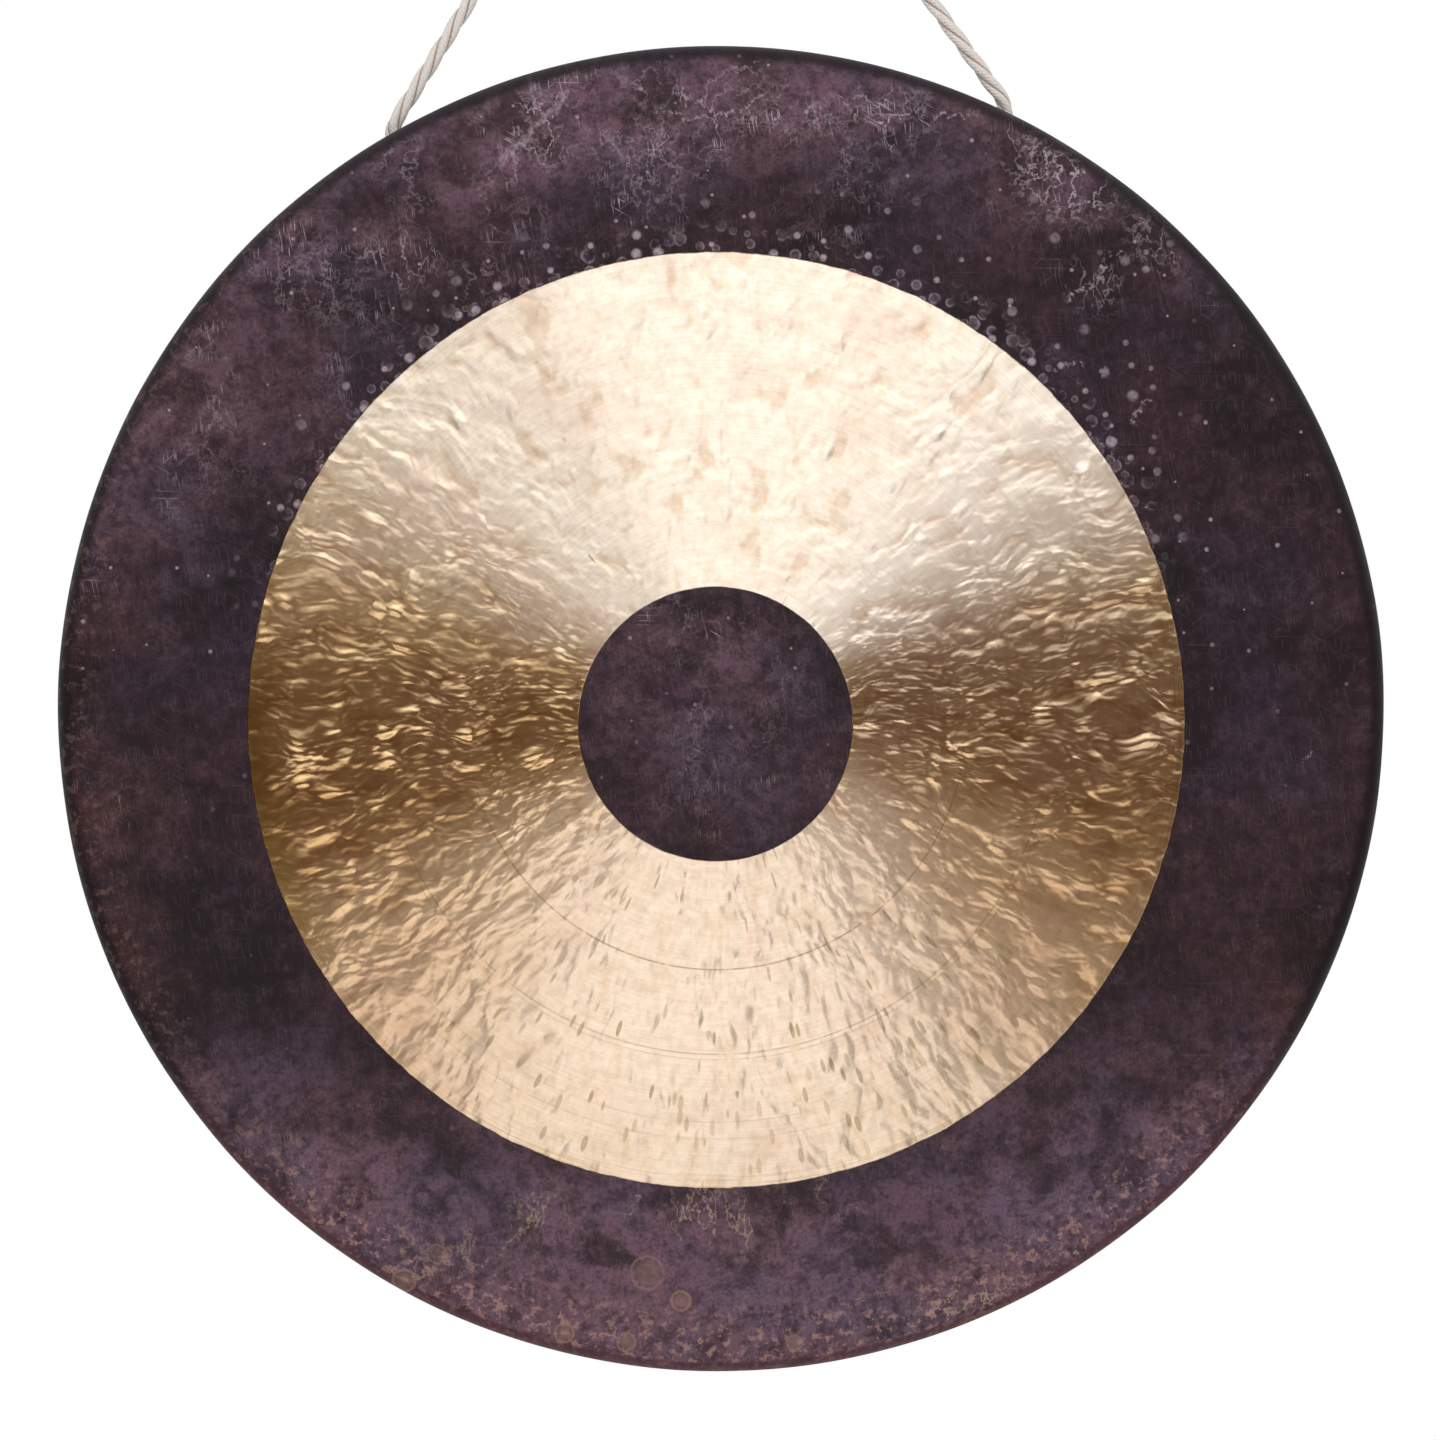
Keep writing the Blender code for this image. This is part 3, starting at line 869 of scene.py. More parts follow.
def hook_places():
    """Places of the wire's section along the hook: a bend, the shank, and the same bend turned over."""
    upper_z = HOOK_WIRE_RADIUS - HOOK_BEND_RADIUS
    middle_z = upper_z - HOOK_BEND_SPACING / 2.0
    crossing = math.asin(2.0 * HOOK_BEND_RADIUS / HOOK_BEND_SPACING)
    sweep = math.pi + HOOK_TIP_ANGLE + crossing
    end_turn = HOOK_END_ROUNDING / HOOK_BEND_RADIUS
    turns = [
        end_turn * (1.0 - math.cos(math.pi / 2.0 * step / HOOK_END_STEPS))
        for step in range(HOOK_END_STEPS)
    ]
    turns += [
        end_turn + (sweep - end_turn) * step / HOOK_BEND_STEPS
        for step in range(HOOK_BEND_STEPS + 1)
    ]
    upper = []
    for turn in turns:
        angle = math.pi + HOOK_TIP_ANGLE - turn
        short = max(0.0, 1.0 - turn / end_turn) * HOOK_END_ROUNDING
        width = HOOK_WIRE_RADIUS - HOOK_END_ROUNDING + math.sqrt(HOOK_END_ROUNDING ** 2 - short ** 2)
        place = Matrix.Translation((
            0.0, HOOK_BEND_RADIUS * math.cos(angle), upper_z + HOOK_BEND_RADIUS * math.sin(angle),
        ))
        size = width / HOOK_WIRE_RADIUS
        upper.append(place @ Matrix.Rotation(angle, 4, "X") @ Matrix.Diagonal((size, size, 1.0, 1.0)))
    over = Matrix.Translation((0.0, 0.0, middle_z)) @ Matrix.Rotation(math.pi, 4, "X")
    over = over @ Matrix.Translation((0.0, 0.0, -middle_z))
    lower = [over @ place @ Matrix.Rotation(math.pi, 4, "X") for place in upper]
    lower.reverse()
    return upper + lower


def cord_route():
    right_leg = [(x, 0.0, z) for x, z in CORD_HALF_ROUTE]
    left_leg = [(-x, y, z) for x, y, z in right_leg[1:]]
    left_leg.reverse()
    return left_leg + right_leg


# Waves and dents of the hammering: how many round the axis, how far drawn out, and how far they stray
HAMMER_SPACES = ((26.0, 1.6, 1.3), (52.0, 1.7, 1.9))


def fill_lathe_space(builder, given):
    """A place on the gong in turning terms, without a seam: round the axis, and out from it."""
    flat = builder.flattened(given["Vector"])
    pushed = builder.vector_math(
        "MULTIPLY", builder.swirl(flat, 9.0, 1.0), builder.combined(given["Waver"], given["Waver"]),
    )
    facing = builder.vector_math("ADD", builder.vector_math("NORMALIZE", flat), pushed)
    parts = builder.separated(facing)
    return {"Vector": builder.combined(
        builder.times(parts[0], given["Around"]), builder.times(parts[1], given["Around"]),
        builder.times(builder.length(flat), given["Outward"]),
    )}


def fill_hammer_space(builder, given):
    """A place on the gong in hammering terms: blows are drawn out from the middle and grow a little."""
    flat = builder.flattened(given["Vector"])
    radius = builder.highest(builder.length(flat), 0.02)
    power = builder.math("SUBTRACT", builder.math("DIVIDE", 1.0, given["Drawn"]), 1.0)
    grown = builder.times(builder.math("POWER", radius, power), given["Around"])
    place = builder.vector_math("MULTIPLY", flat, builder.combined(grown, grown))
    waver = builder.combined(given["Waver"], given["Waver"], given["Waver"])
    return {"Vector": builder.vector_math("MULTIPLY_ADD", builder.swirl(flat, 17.0, 2.0), waver, place)}


def fill_hammer_marks(builder, given):
    """Height of the hammer blows, as metres one metre from the middle, and a mask of the hollows."""
    place = given["Vector"]
    wave_space, blow_space = [
        builder.effect("hammer_space", place, Around=around, Drawn=drawn, Waver=waver)["Vector"]
        for around, drawn, waver in HAMMER_SPACES
    ]
    waves = builder.noise(wave_space, 1.0, 2.5, 0.57)
    far, picked = builder.cells(blow_space, 1.0)
    deep = builder.highest(builder.math("SUBTRACT", picked[0], 0.45), 0.0)
    dents = builder.times(builder.step(far, 0.0, 0.6, 1.0, 0.0), builder.times(deep, given["Dents"]))
    height = builder.times_plus(waves, given["Waves"], dents)
    grown = builder.math("POWER", builder.length(builder.flattened(place)), 0.4)
    return {"Height": builder.times(height, grown), "Hollow": builder.step(waves, 0.34, 0.46, 1.0, 0.0)}


def fill_scratches(builder, given):
    """Mask of short thin straight marks that lie at one angle."""
    turned = builder.add(
        "ShaderNodeVectorRotate", {"Vector": given["Vector"], "Angle": given["Angle"]},
        rotation_type="Z_AXIS",
    ).outputs[0]
    size = builder.combined(given["Length"], given["Width"], 1.0)
    wander = builder.add("ShaderNodeTexNoise", {"Vector": turned, "Scale": 30.0}).outputs["Color"]
    bent = builder.vector_math(
        "ADD", builder.vector_math("DIVIDE", turned, size),
        builder.vector_math("MULTIPLY", wander, (0.0, 1.5, 0.0)),
    )
    far, picked = builder.cells(bent, 0.5, "2D")
    chosen = builder.math("LESS_THAN", picked[0], given["Share"])
    return {"Mask": builder.times(builder.step(far, 0.15, 0.32, 1.0, 0.0), chosen)}


def fill_dots(builder, given):
    """Masks of soft round marks in a share of the cells: the whole mark, and its rim alone."""
    spacing = builder.combined(given["Spacing"], given["Spacing"], 1.0)
    far, picked = builder.cells(builder.vector_math("DIVIDE", given["Vector"], spacing), 1.0, "2D")
    chosen = builder.math("LESS_THAN", picked[0], given["Share"])
    size = builder.times(given["Size"], builder.times_plus(picked[1], 0.7, 0.5))
    near = builder.math("DIVIDE", far, size)
    return {
        "Mask": builder.times(builder.step(near, 0.45, 1.0, 1.0, 0.0), chosen),
        "Ring": builder.times(builder.step(builder.distance(near, 0.8), 0.0, 0.3, 1.0, 0.0), chosen),
    }


def fill_veins(builder, given):
    """Mask of thin wandering lines that branch and meet."""
    off = builder.distance(builder.noise(given["Vector"], given["Scale"], 5.0, 0.62), 0.5)
    near = builder.math("DIVIDE", off, given["Width"])
    return {"Mask": builder.step(near, 0.2, 1.0, 1.0, 0.0)}


# Effects that materials share: how each is filled, its inputs past the vector, and its outputs
EFFECTS = {
    "lathe_space": (fill_lathe_space, {"Around": 40.0, "Outward": 40.0, "Waver": 0.0}, ("Vector",)),
    "hammer_space": (fill_hammer_space, {"Around": 26.0, "Drawn": 1.7, "Waver": 1.2}, ("Vector",)),
    "hammer_marks": (fill_hammer_marks, {"Waves": 0.0055, "Dents": 0.0028}, ("Height", "Hollow")),
    "scratches": (
        fill_scratches, {"Angle": 0.0, "Length": 0.03, "Width": 0.001, "Share": 0.3}, ("Mask",)),
    "dots": (fill_dots, {"Spacing": 0.02, "Size": 0.15, "Share": 0.3}, ("Mask", "Ring")),
    "veins": (fill_veins, {"Scale": 30.0, "Width": 0.012}, ("Mask",)),
}


def effect_group(name):
    """The shader node group of an effect, built when it is first asked for."""
    group = bpy.data.node_groups.get(name)
    if group:
        return group
    fill, inputs, outputs = EFFECTS[name]
    group = bpy.data.node_groups.new(name, "ShaderNodeTree")
    group.interface.new_socket("Vector", in_out="INPUT", socket_type="NodeSocketVector")
    for label, default in inputs.items():
        socket = group.interface.new_socket(label, in_out="INPUT", socket_type="NodeSocketFloat")
        socket.default_value = default
    for label in outputs:
        kind = "NodeSocketVector" if label == "Vector" else "NodeSocketFloat"
        group.interface.new_socket(label, in_out="OUTPUT", socket_type=kind)
    builder = NodeBuilder(group)
    builder.add("NodeGroupOutput", fill(builder, builder.add("NodeGroupInput").outputs))
    return group


# Tones mixed into the dark skin, past those in the disc's settings, as red, green and blue
CLOUDED = (0.100, 0.056, 0.074)
COOLED = (0.80, 0.96, 1.14)
REDDENED = (0.085, 0.030, 0.026)
BLUED = (0.034, 0.026, 0.060)
PITTED = (0.012, 0.008, 0.010)
DUSTY = (0.110, 0.070, 0.080)
GRAINED = (0.010, 0.007, 0.009)
WORN_BELOW = (0.46, 0.35, 0.24)
WORN_ABOVE = (0.50, 0.40, 0.46)
BLACKENED = (0.010, 0.006, 0.008)
FLECKED = (0.46, 0.27, 0.23)
RED_EDGED = (0.085, 0.020, 0.024)
STAINED = (0.34, 0.21, 0.15)

# Tones mixed into the lathed ring; several are painted light: a painted reflection below, painted shade on
# the lower sides, upper left, low outside and in the hammer hollows, and a painted highlight upper right
PEACH_LOW_REFLECTION = (0.85, 0.71, 0.57)
STREAKED = (0.62, 0.41, 0.20)
BLUSHED = (0.80, 0.60, 0.50)
PINKED = (0.62, 0.44, 0.36)
LOWER_SIDE_SHADE = (0.66, 0.50, 0.34)
MOTTLED = (0.72, 0.56, 0.40)
OLIVE = (0.50, 0.36, 0.12)
YELLOWED = (0.92, 0.83, 0.66)
UPPER_RIGHT_HIGHLIGHT = (1.0, 0.92, 0.84)
UPPER_LEFT_SHADE = (0.88, 0.88, 0.87)
LOW_OUTER_SHADE = (0.94, 0.93, 0.91)
HOLLOW_SHADE = (0.66, 0.50, 0.36)
DASHED = (0.33, 0.25, 0.13)
SCRIBED = (0.30, 0.18, 0.08)
BORDERED = (0.45, 0.30, 0.12)
LATHED = (0.35, 0.24, 0.10)

# Tones of the cotton's shade and dirt, and of the zinc on the hook
COTTON_SHADED = (0.92, 0.84, 0.77)
COTTON_SHADE_BETWEEN_YARNS = (0.64, 0.51, 0.44)
COTTON_IN_GROOVE = (0.24, 0.165, 0.145)
COTTON_SOILED = (0.72, 0.60, 0.52)
COTTON_FUZZ = (0.52, 0.40, 0.35)
ZINC = (0.66, 0.66, 0.64)
ZINC_DULL = (0.50, 0.51, 0.52)
ZINC_BLOOM = (0.38, 0.38, 0.39)
ZINC_RUBBED = (0.76, 0.75, 0.72)
FLOOR_GREY = (0.8, 0.8, 0.8)
WHITE = (1.0, 1.0, 1.0)


def from_photo(column, row):
    """Where a pixel of the photograph falls on the gong's face: metres to the right and up."""
    right = (column - OUTLINE_COLUMN) / PIXELS_PER_METRE
    up = (OUTLINE_ROW - row) / PIXELS_PER_METRE
    cosine = math.cos(PHOTO_ROLL)
    sine = math.sin(PHOTO_ROLL)
    return right * cosine + up * sine, up * cosine - right * sine


def add_blobs(builder, local, marks):
    """Sum of soft round patches: (column, row, radius in metres, strength)."""
    total = None
    for column, row, radius, strength in marks:
        far = builder.length_from(local, (*from_photo(column, row), 0.0))
        blob = builder.step(far, 0.0, radius, strength, 0.0)
        total = blob if total is None else builder.math("ADD", total, blob)
    return total


def scraped_mask(builder, flat, scrape, broken):
    """Mask of one ragged scrape that runs straight between two places."""
    start, end = from_photo(*scrape[:2]), from_photo(*scrape[2:4])
    width, strength = scrape[4:]
    run = math.dist(start, end)
    heading = math.atan2(end[1] - start[1], end[0] - start[0])
    place = builder.place(flat, (*start, 0.0), (0.0, 0.0, heading), kind="TEXTURE")
    here = builder.separated(place)
    wander = builder.times_plus(builder.noise(place, 70.0, 4.0, 0.7), 0.018, -0.009)
    across = builder.math("ABSOLUTE", builder.math("ADD", here[1], wander))
    across = builder.times_plus(broken, 0.0012, across)
    inside = builder.distance(here[0], run / 2.0)
    return builder.times(
        builder.step(across, 0.0, 0.75 * width, strength, 0.0),
        builder.step(inside, run * 0.42, run * 0.56, 1.0, 0.0),
    )


def skin_base(builder, disc, skin):
    """Colour of the dark skin before its wear: clouds, smudges, tints and speckle, with a paler top that is
    a painted sheen of the light from above.
    """
    flat, up, cloud, mottle = skin["flat"], skin["up"], skin["cloud"], skin["mottle"]
    broad = builder.noise(skin["local"], 8.0, 4.0, 0.6)
    # The pale mask: paler towards the bottom, paler at the top as a painted sheen of the light from above
    # (more so outwards), and paler in smudged patches
    low = builder.step(up, -0.42, -0.16, 1.0, 0.0)
    outer = builder.step(skin["radius"], 0.31, 0.395)
    pale = builder.times(low, builder.times_plus(outer, 0.85, 0.95))
    pale = builder.math("ADD", pale, builder.times(skin["top"], builder.times_plus(outer, 0.50, 0.10)))
    pale = builder.math("ADD", pale, builder.times(skin["haze"], 0.5))
    pale = builder.times(pale, builder.step(cloud, 0.38, 0.58, 0.22, 1.2))
    tone = builder.mix(builder.step(broad, 0.40, 0.58), disc.oxide_dark, disc.oxide)
    tone = builder.mix(builder.step(cloud, 0.50, 0.66, 0.0, 0.42), tone, CLOUDED)
    tone = builder.mix(builder.times(pale, 1.0, clamp=True), tone, disc.oxide_pale)
    hue = builder.noise(builder.place(flat, (9.0, 3.0, 0.0)), 11.0, 3.0, 0.55)
    tone = builder.mix(builder.step(hue, 0.40, 0.54, 0.70, 0.0), tone, COOLED, "MULTIPLY")
    red = builder.times(add_blobs(builder, flat, RED_TINTS), builder.step(cloud, 0.38, 0.60))
    tone = builder.mix(builder.times(red, 0.7, clamp=True), tone, REDDENED)
    blue = builder.times(add_blobs(builder, flat, BLUE_TINTS), builder.step(broad, 0.40, 0.60))
    tone = builder.mix(builder.times(blue, 0.5, clamp=True), tone, BLUED)
    tone = builder.mix(builder.step(mottle, 0.36, 0.58, 0.55, 0.0), tone, PITTED)
    tone = builder.mix(builder.step(mottle, 0.54, 0.72, 0.0, 0.30), tone, DUSTY)
    return builder.mix(builder.step(skin["grain"], 0.30, 0.60, 0.35, 0.0), tone, GRAINED)


def skin_wear(builder, skin):
    """Mask of all that has worn pale: scratches, scrapes, veins, dots and lace round the ring."""
    flat, up, radius, grain = skin["flat"], skin["up"], skin["radius"], skin["grain"]
    worn = builder.step(builder.noise(builder.place(flat, (7.0, 2.0, 0.0)), 15.0, 3.0, 0.6), 0.46, 0.60)
    wear = builder.times(worn, builder.times_plus(skin["haze"], 0.6, builder.times(skin["top"], 0.8)))
    scratches = builder.highest(*[
        builder.effect("scratches", flat, Angle=angle, Length=length, Width=width, Share=share)["Mask"]
        for angle, length, width, share in SCRATCH_SETS
    ])
    clusters = builder.noise(builder.place(flat, (2.0, 6.0, 0.0)), 27.0, 3.0, 0.6)
    clustered = builder.step(clusters, 0.50, 0.62)
    many = builder.times_plus(builder.times(wear, clustered), 1.5, 0.07)
    scratched = builder.times(scratches, many, clamp=True)
    broken = builder.step(builder.noise(flat, 260.0, 3.0, 0.7), 0.42, 0.58, 1.0, 0.0)
    for scrape in SCRAPES:
        scratched = builder.highest(scratched, scraped_mask(builder, flat, scrape, broken))

    long_space = builder.place(flat, scale=(1.5, 0.8, 1.0))
    veins = builder.effect("veins", long_space, Scale=19.0, Width=0.011)["Mask"]
    crazed = builder.effect("veins", flat, Scale=58.0, Width=0.026)["Mask"]
    veined = builder.times(veins, builder.times_plus(wear, 0.5, add_blobs(builder, flat, VEINED)))
    rubbed = builder.times(crazed, builder.times_plus(wear, 0.30, add_blobs(builder, flat, CRAZED)))

    near_ring = builder.times(
        builder.step(radius, 0.300, 0.345, 1.0, 0.0), builder.step(up, 0.04, 0.17),
        builder.step(radius, 0.262, 0.292),
    )
    near_ring = builder.highest(near_ring, add_blobs(builder, flat, DOTTED), clamp=True)
    dots = builder.effect("dots", flat, Spacing=0.0150, Size=0.27, Share=0.36)
    lace = builder.effect(
        "dots", builder.place(flat, (0.3, 0.9, 0.0)), Spacing=0.0105, Size=0.42, Share=0.75)
    strays = builder.effect(
        "dots", builder.place(flat, (0.5, 0.2, 0.0)), Spacing=0.021, Size=0.080, Share=0.22)
    dotted = builder.times(dots["Mask"], builder.times(near_ring, 1.1, clamp=True))
    hugging = builder.times(builder.step(radius, 0.300, 0.324, 1.0, 0.0), near_ring)
    laced = builder.times_plus(lace["Ring"], 0.6, builder.times(lace["Mask"], 0.25))
    laced = builder.times(laced, hugging, builder.step(skin["mottle"], 0.35, 0.60))
    stray = builder.times(strays["Mask"], builder.step(up, -0.08, 0.10, 0.15, 0.85))
    marked = builder.highest(
        builder.highest(builder.highest(scratched, veined), builder.highest(dotted, stray)),
        builder.highest(laced, rubbed),
    )
    marked = builder.times(marked, builder.step(grain, 0.28, 0.60, 0.45, 1.0), clamp=True)
    return builder.times(marked, builder.step(skin["depth"], -0.026, -0.018, 0.15, 1.0))


def skin_rim(builder, disc, skin, tone):
    """Colour of the dark skin near the rim: blackened above, flecked pale and reddened below."""
    radius, up, depth = skin["radius"], skin["up"], skin["depth"]
    edge = builder.times(
        builder.step(radius, disc.radius - 0.0125, disc.radius - 0.0055),
        builder.step(up, -0.34, -0.18, 0.0, 0.85),
        builder.step(depth, -0.036, -0.018, 0.55, 1.0),
    )
    tone = builder.mix(edge, tone, BLACKENED)
    low_rim = builder.times(
        builder.step(radius, 0.372, 0.414), builder.step(up, -0.34, -0.20, 1.0, 0.0))
    left_rim = builder.times(
        builder.step(radius, 0.392, 0.418, 0.0, 0.26),
        builder.step(skin["right"], -0.34, -0.18, 1.0, 0.0),
    )
    fleck_place = builder.place(skin["local"], (1.0, 4.0, 0.0))
    fleck = builder.step(builder.noise(fleck_place, 150.0, 4.0, 0.75), 0.52, 0.62)
    flecked = builder.times(builder.highest(low_rim, left_rim), fleck, 0.65)
    tone = builder.mix(flecked, tone, FLECKED)
    red_edge = builder.times(
        builder.step(radius, 0.4240, 0.4262), builder.step(up, -0.34, -0.20, 0.6, 0.0),
        builder.step(depth, -0.030, -0.016, 0.2, 1.0),
    )
    return builder.mix(red_edge, tone, RED_EDGED)


def oxide_skin(builder, disc, local):
    """Colour, roughness and height of the dark forge skin, worn in the photograph's places."""
    flat = builder.flattened(local)
    parts = builder.separated(flat)
    skin = {
        "local": local, "flat": flat, "right": parts[0], "up": parts[1],
        "radius": builder.length(flat),
        "depth": builder.separated(local)[2],
        "top": builder.step(parts[1], 0.24, 0.40),
        "cloud": builder.noise(builder.place(local, (3.0, 1.0, 0.0)), 24.0, 6.0, 0.68),
        "mottle": builder.noise(builder.place(local, (5.0, 2.0, 0.0)), 115.0, 4.0, 0.7),
        "grain": builder.noise(local, 430.0, 2.0, 0.6),
        "haze": add_blobs(builder, flat, PALE_HAZE),
    }
    tone = skin_base(builder, disc, skin)
    rubbed = builder.mix(builder.step(skin["up"], -0.2, 0.1), WORN_BELOW, WORN_ABOVE)
    tone = builder.mix(builder.times(skin_wear(builder, skin), 0.88), tone, rubbed)
    tone = skin_rim(builder, disc, skin, tone)
    for column, row, size, strength in STAINS:
        waved = builder.times_plus(skin["mottle"], 0.0044, -0.0022)
        middle = builder.length_from(flat, (*from_photo(column, row), 0.0))
        far = builder.math("ADD", middle, waved)
        spot = builder.step(far, size * 0.35, size, strength * 0.45, 0.0)
        ring = builder.step(builder.distance(far, size * 0.85), 0.0, 0.0016, strength * 0.85, 0.0)
        tone = builder.mix(builder.highest(spot, ring), tone, STAINED)
    roughness = builder.step(skin["cloud"], 0.3, 0.7, 0.46, 0.62)
    height = builder.times_plus(skin["grain"], 0.00004, builder.times(skin["mottle"], 0.00008))
    return tone, roughness, height


def gong_coordinates(builder, disc):
    """Object coordinates in the gong's own axes: right, up and forward from the face's middle."""
    return builder.place(
        builder.object_place(), gong_centre(disc), (math.pi / 2.0 + GONG_TILT, 0.0, 0.0),
        kind="TEXTURE",
    )


def outward_tangent(builder, disc):
    """Direction away from the gong's axis, across the lathe marks, in which highlights are drawn out."""
    arm = builder.vector_math("SUBTRACT", builder.object_place(), gong_centre(disc))
    turned = builder.add(
        "ShaderNodeVectorTransform", {0: builder.vector_math("NORMALIZE", arm)},
        vector_type="VECTOR", convert_from="OBJECT", convert_to="WORLD",
    )
    return turned.outputs[0]


def ring_tone(builder, disc, ring):
    """Colour of the lathed ring: pale above as a painted highlight, peach below as a painted reflection,
    brown at both sides as a painted dark reflection, with painted shade on the lower sides, upper left, low
    outside and in the hollows, and a painted highlight upper right.
    """
    flat, facing, radius, up, down = (ring[name] for name in ("flat", "facing", "radius", "up", "down"))
    # Painted light in the ring's colour: peach below as a painted reflection, brown at the sides as a
    # painted dark reflection, pale above as a painted highlight
    tone = builder.mix(down, disc.side_reflection_bronze, PEACH_LOW_REFLECTION)
    tone = builder.mix(up, tone, disc.bright)
    streaks = builder.times(
        builder.step(ring["streak"], 0.34, 0.52, 0.35, 0.0), builder.step(up, 0.0, 1.0, 1.0, 0.1),
        builder.step(down, 0.0, 1.0, 1.0, 0.45),
    )
    tone = builder.mix(streaks, tone, STREAKED, "MULTIPLY")
    blush = builder.step(builder.noise(flat, 13.0, 2.0, 0.5), 0.50, 0.66, 0.0, 0.35)
    tone = builder.mix(blush, tone, BLUSHED)
    tone = builder.mix(add_blobs(builder, flat, PINK_PATCHES), tone, PINKED)
    # Painted shade: the ring darker on its lower sides, more so on the right, where it reflects less light
    lower_side_shade = builder.times(
        builder.step(facing[1], -1.0, -0.62), builder.step(facing[1], -0.35, 0.05, 1.0, 0.0),
        builder.step(facing[0], -0.2, 0.6, 0.55, 0.70), builder.step(radius, 0.12, 0.23, 0.45, 1.0),
    )
    tone = builder.mix(lower_side_shade, tone, LOWER_SIDE_SHADE, "MULTIPLY")
    mottled = builder.noise(builder.place(flat, (4.0, 4.0, 0.0)), 130.0, 4.0, 0.7)
    tone = builder.mix(builder.step(mottled, 0.35, 0.60, 0.30, 0.0), tone, MOTTLED, "MULTIPLY")
    tone = builder.mix(ring["olive"], tone, OLIVE)
    tone = builder.mix(builder.step(facing[0], -0.98, -0.90, 0.85, 0.0), tone, YELLOWED, "MULTIPLY")
    # Painted highlight: the ring paler at its upper right
    upper_right_highlight = builder.times(
        builder.step(facing[0], 0.5, 0.8), builder.step(facing[1], 0.2, 0.45, 0.0, 0.55))
    tone = builder.mix(upper_right_highlight, tone, UPPER_RIGHT_HIGHLIGHT)
    # Painted shade: the ring duller near the top, left of the middle
    upper_left_shade = builder.times(
        builder.step(facing[0], -0.48, -0.2, 1.0, 0.0), builder.step(facing[1], 0.66, 0.82))
    tone = builder.mix(upper_left_shade, tone, UPPER_LEFT_SHADE, "MULTIPLY")
    # Painted shade: the ring greyer and darker low down towards its outer edge
    low_outer_shade = builder.times(down, builder.step(radius, 0.20, 0.29))
    tone = builder.mix(low_outer_shade, tone, LOW_OUTER_SHADE, "MULTIPLY")
    # Painted shade in the hammer hollows, stronger above than below
    dent_shade = builder.times(ring["dent_shade"], builder.step(down, 0.0, 1.0, 0.42, 0.15))
    return builder.mix(dent_shade, tone, HOLLOW_SHADE, "MULTIPLY")


def ring_marks(builder, disc, ring, tone):
    """Adds what the lathe left on the ring: missed dashes, scribed circles, a border and fine lines."""
    flat, facing, radius, lathe = (ring[name] for name in ("flat", "facing", "radius", "lathe"))
    low = builder.step(facing[1], -0.75, -0.35, 1.0, 0.0)
    missed = builder.effect("lathe_space", flat, Around=50.0, Outward=58.0, Waver=0.01)["Vector"]
    far, picked = builder.cells(missed, 1.0)
    outwards = builder.step(radius, 0.12, 0.29, 0.35, 1.0)
    share = builder.times_plus(builder.times(low, outwards), 0.40, 0.004)
    dash = builder.math("LESS_THAN", picked[0], share)
    inner = builder.step(far, 0.10, 0.22, 0.80, 1.0)
    dash = builder.times(dash, builder.times(inner, builder.step(far, 0.24, 0.38, 1.0, 0.0)))
    dash = builder.times(dash, builder.times_plus(picked[1], 0.55, 0.28))
    tone = builder.mix(dash, tone, DASHED)

    drawn = builder.times(
        builder.step(facing[1], -0.42, -0.18, 1.0, 0.0), builder.step(ring["streak"], 0.3, 0.55))
    for circle, strength in SCRIBED_CIRCLES:
        off = builder.distance(radius, circle)
        tone = builder.mix(
            builder.times(builder.step(off, 0.0002, 0.0008, strength, 0.0), drawn), tone, SCRIBED)
    border = builder.times(
        builder.step(radius, disc.ring_radius - 0.010, disc.ring_radius - 0.006),
        builder.step(facing[1], -0.1, 0.3, 1.0, 0.15),
    )
    tone = builder.mix(builder.times(border, builder.step(lathe, 0.42, 0.50, 0.30, 0.0)), tone, BORDERED)
    return builder.mix(builder.step(lathe, 0.40, 0.60, 0.10, 0.0), tone, LATHED)


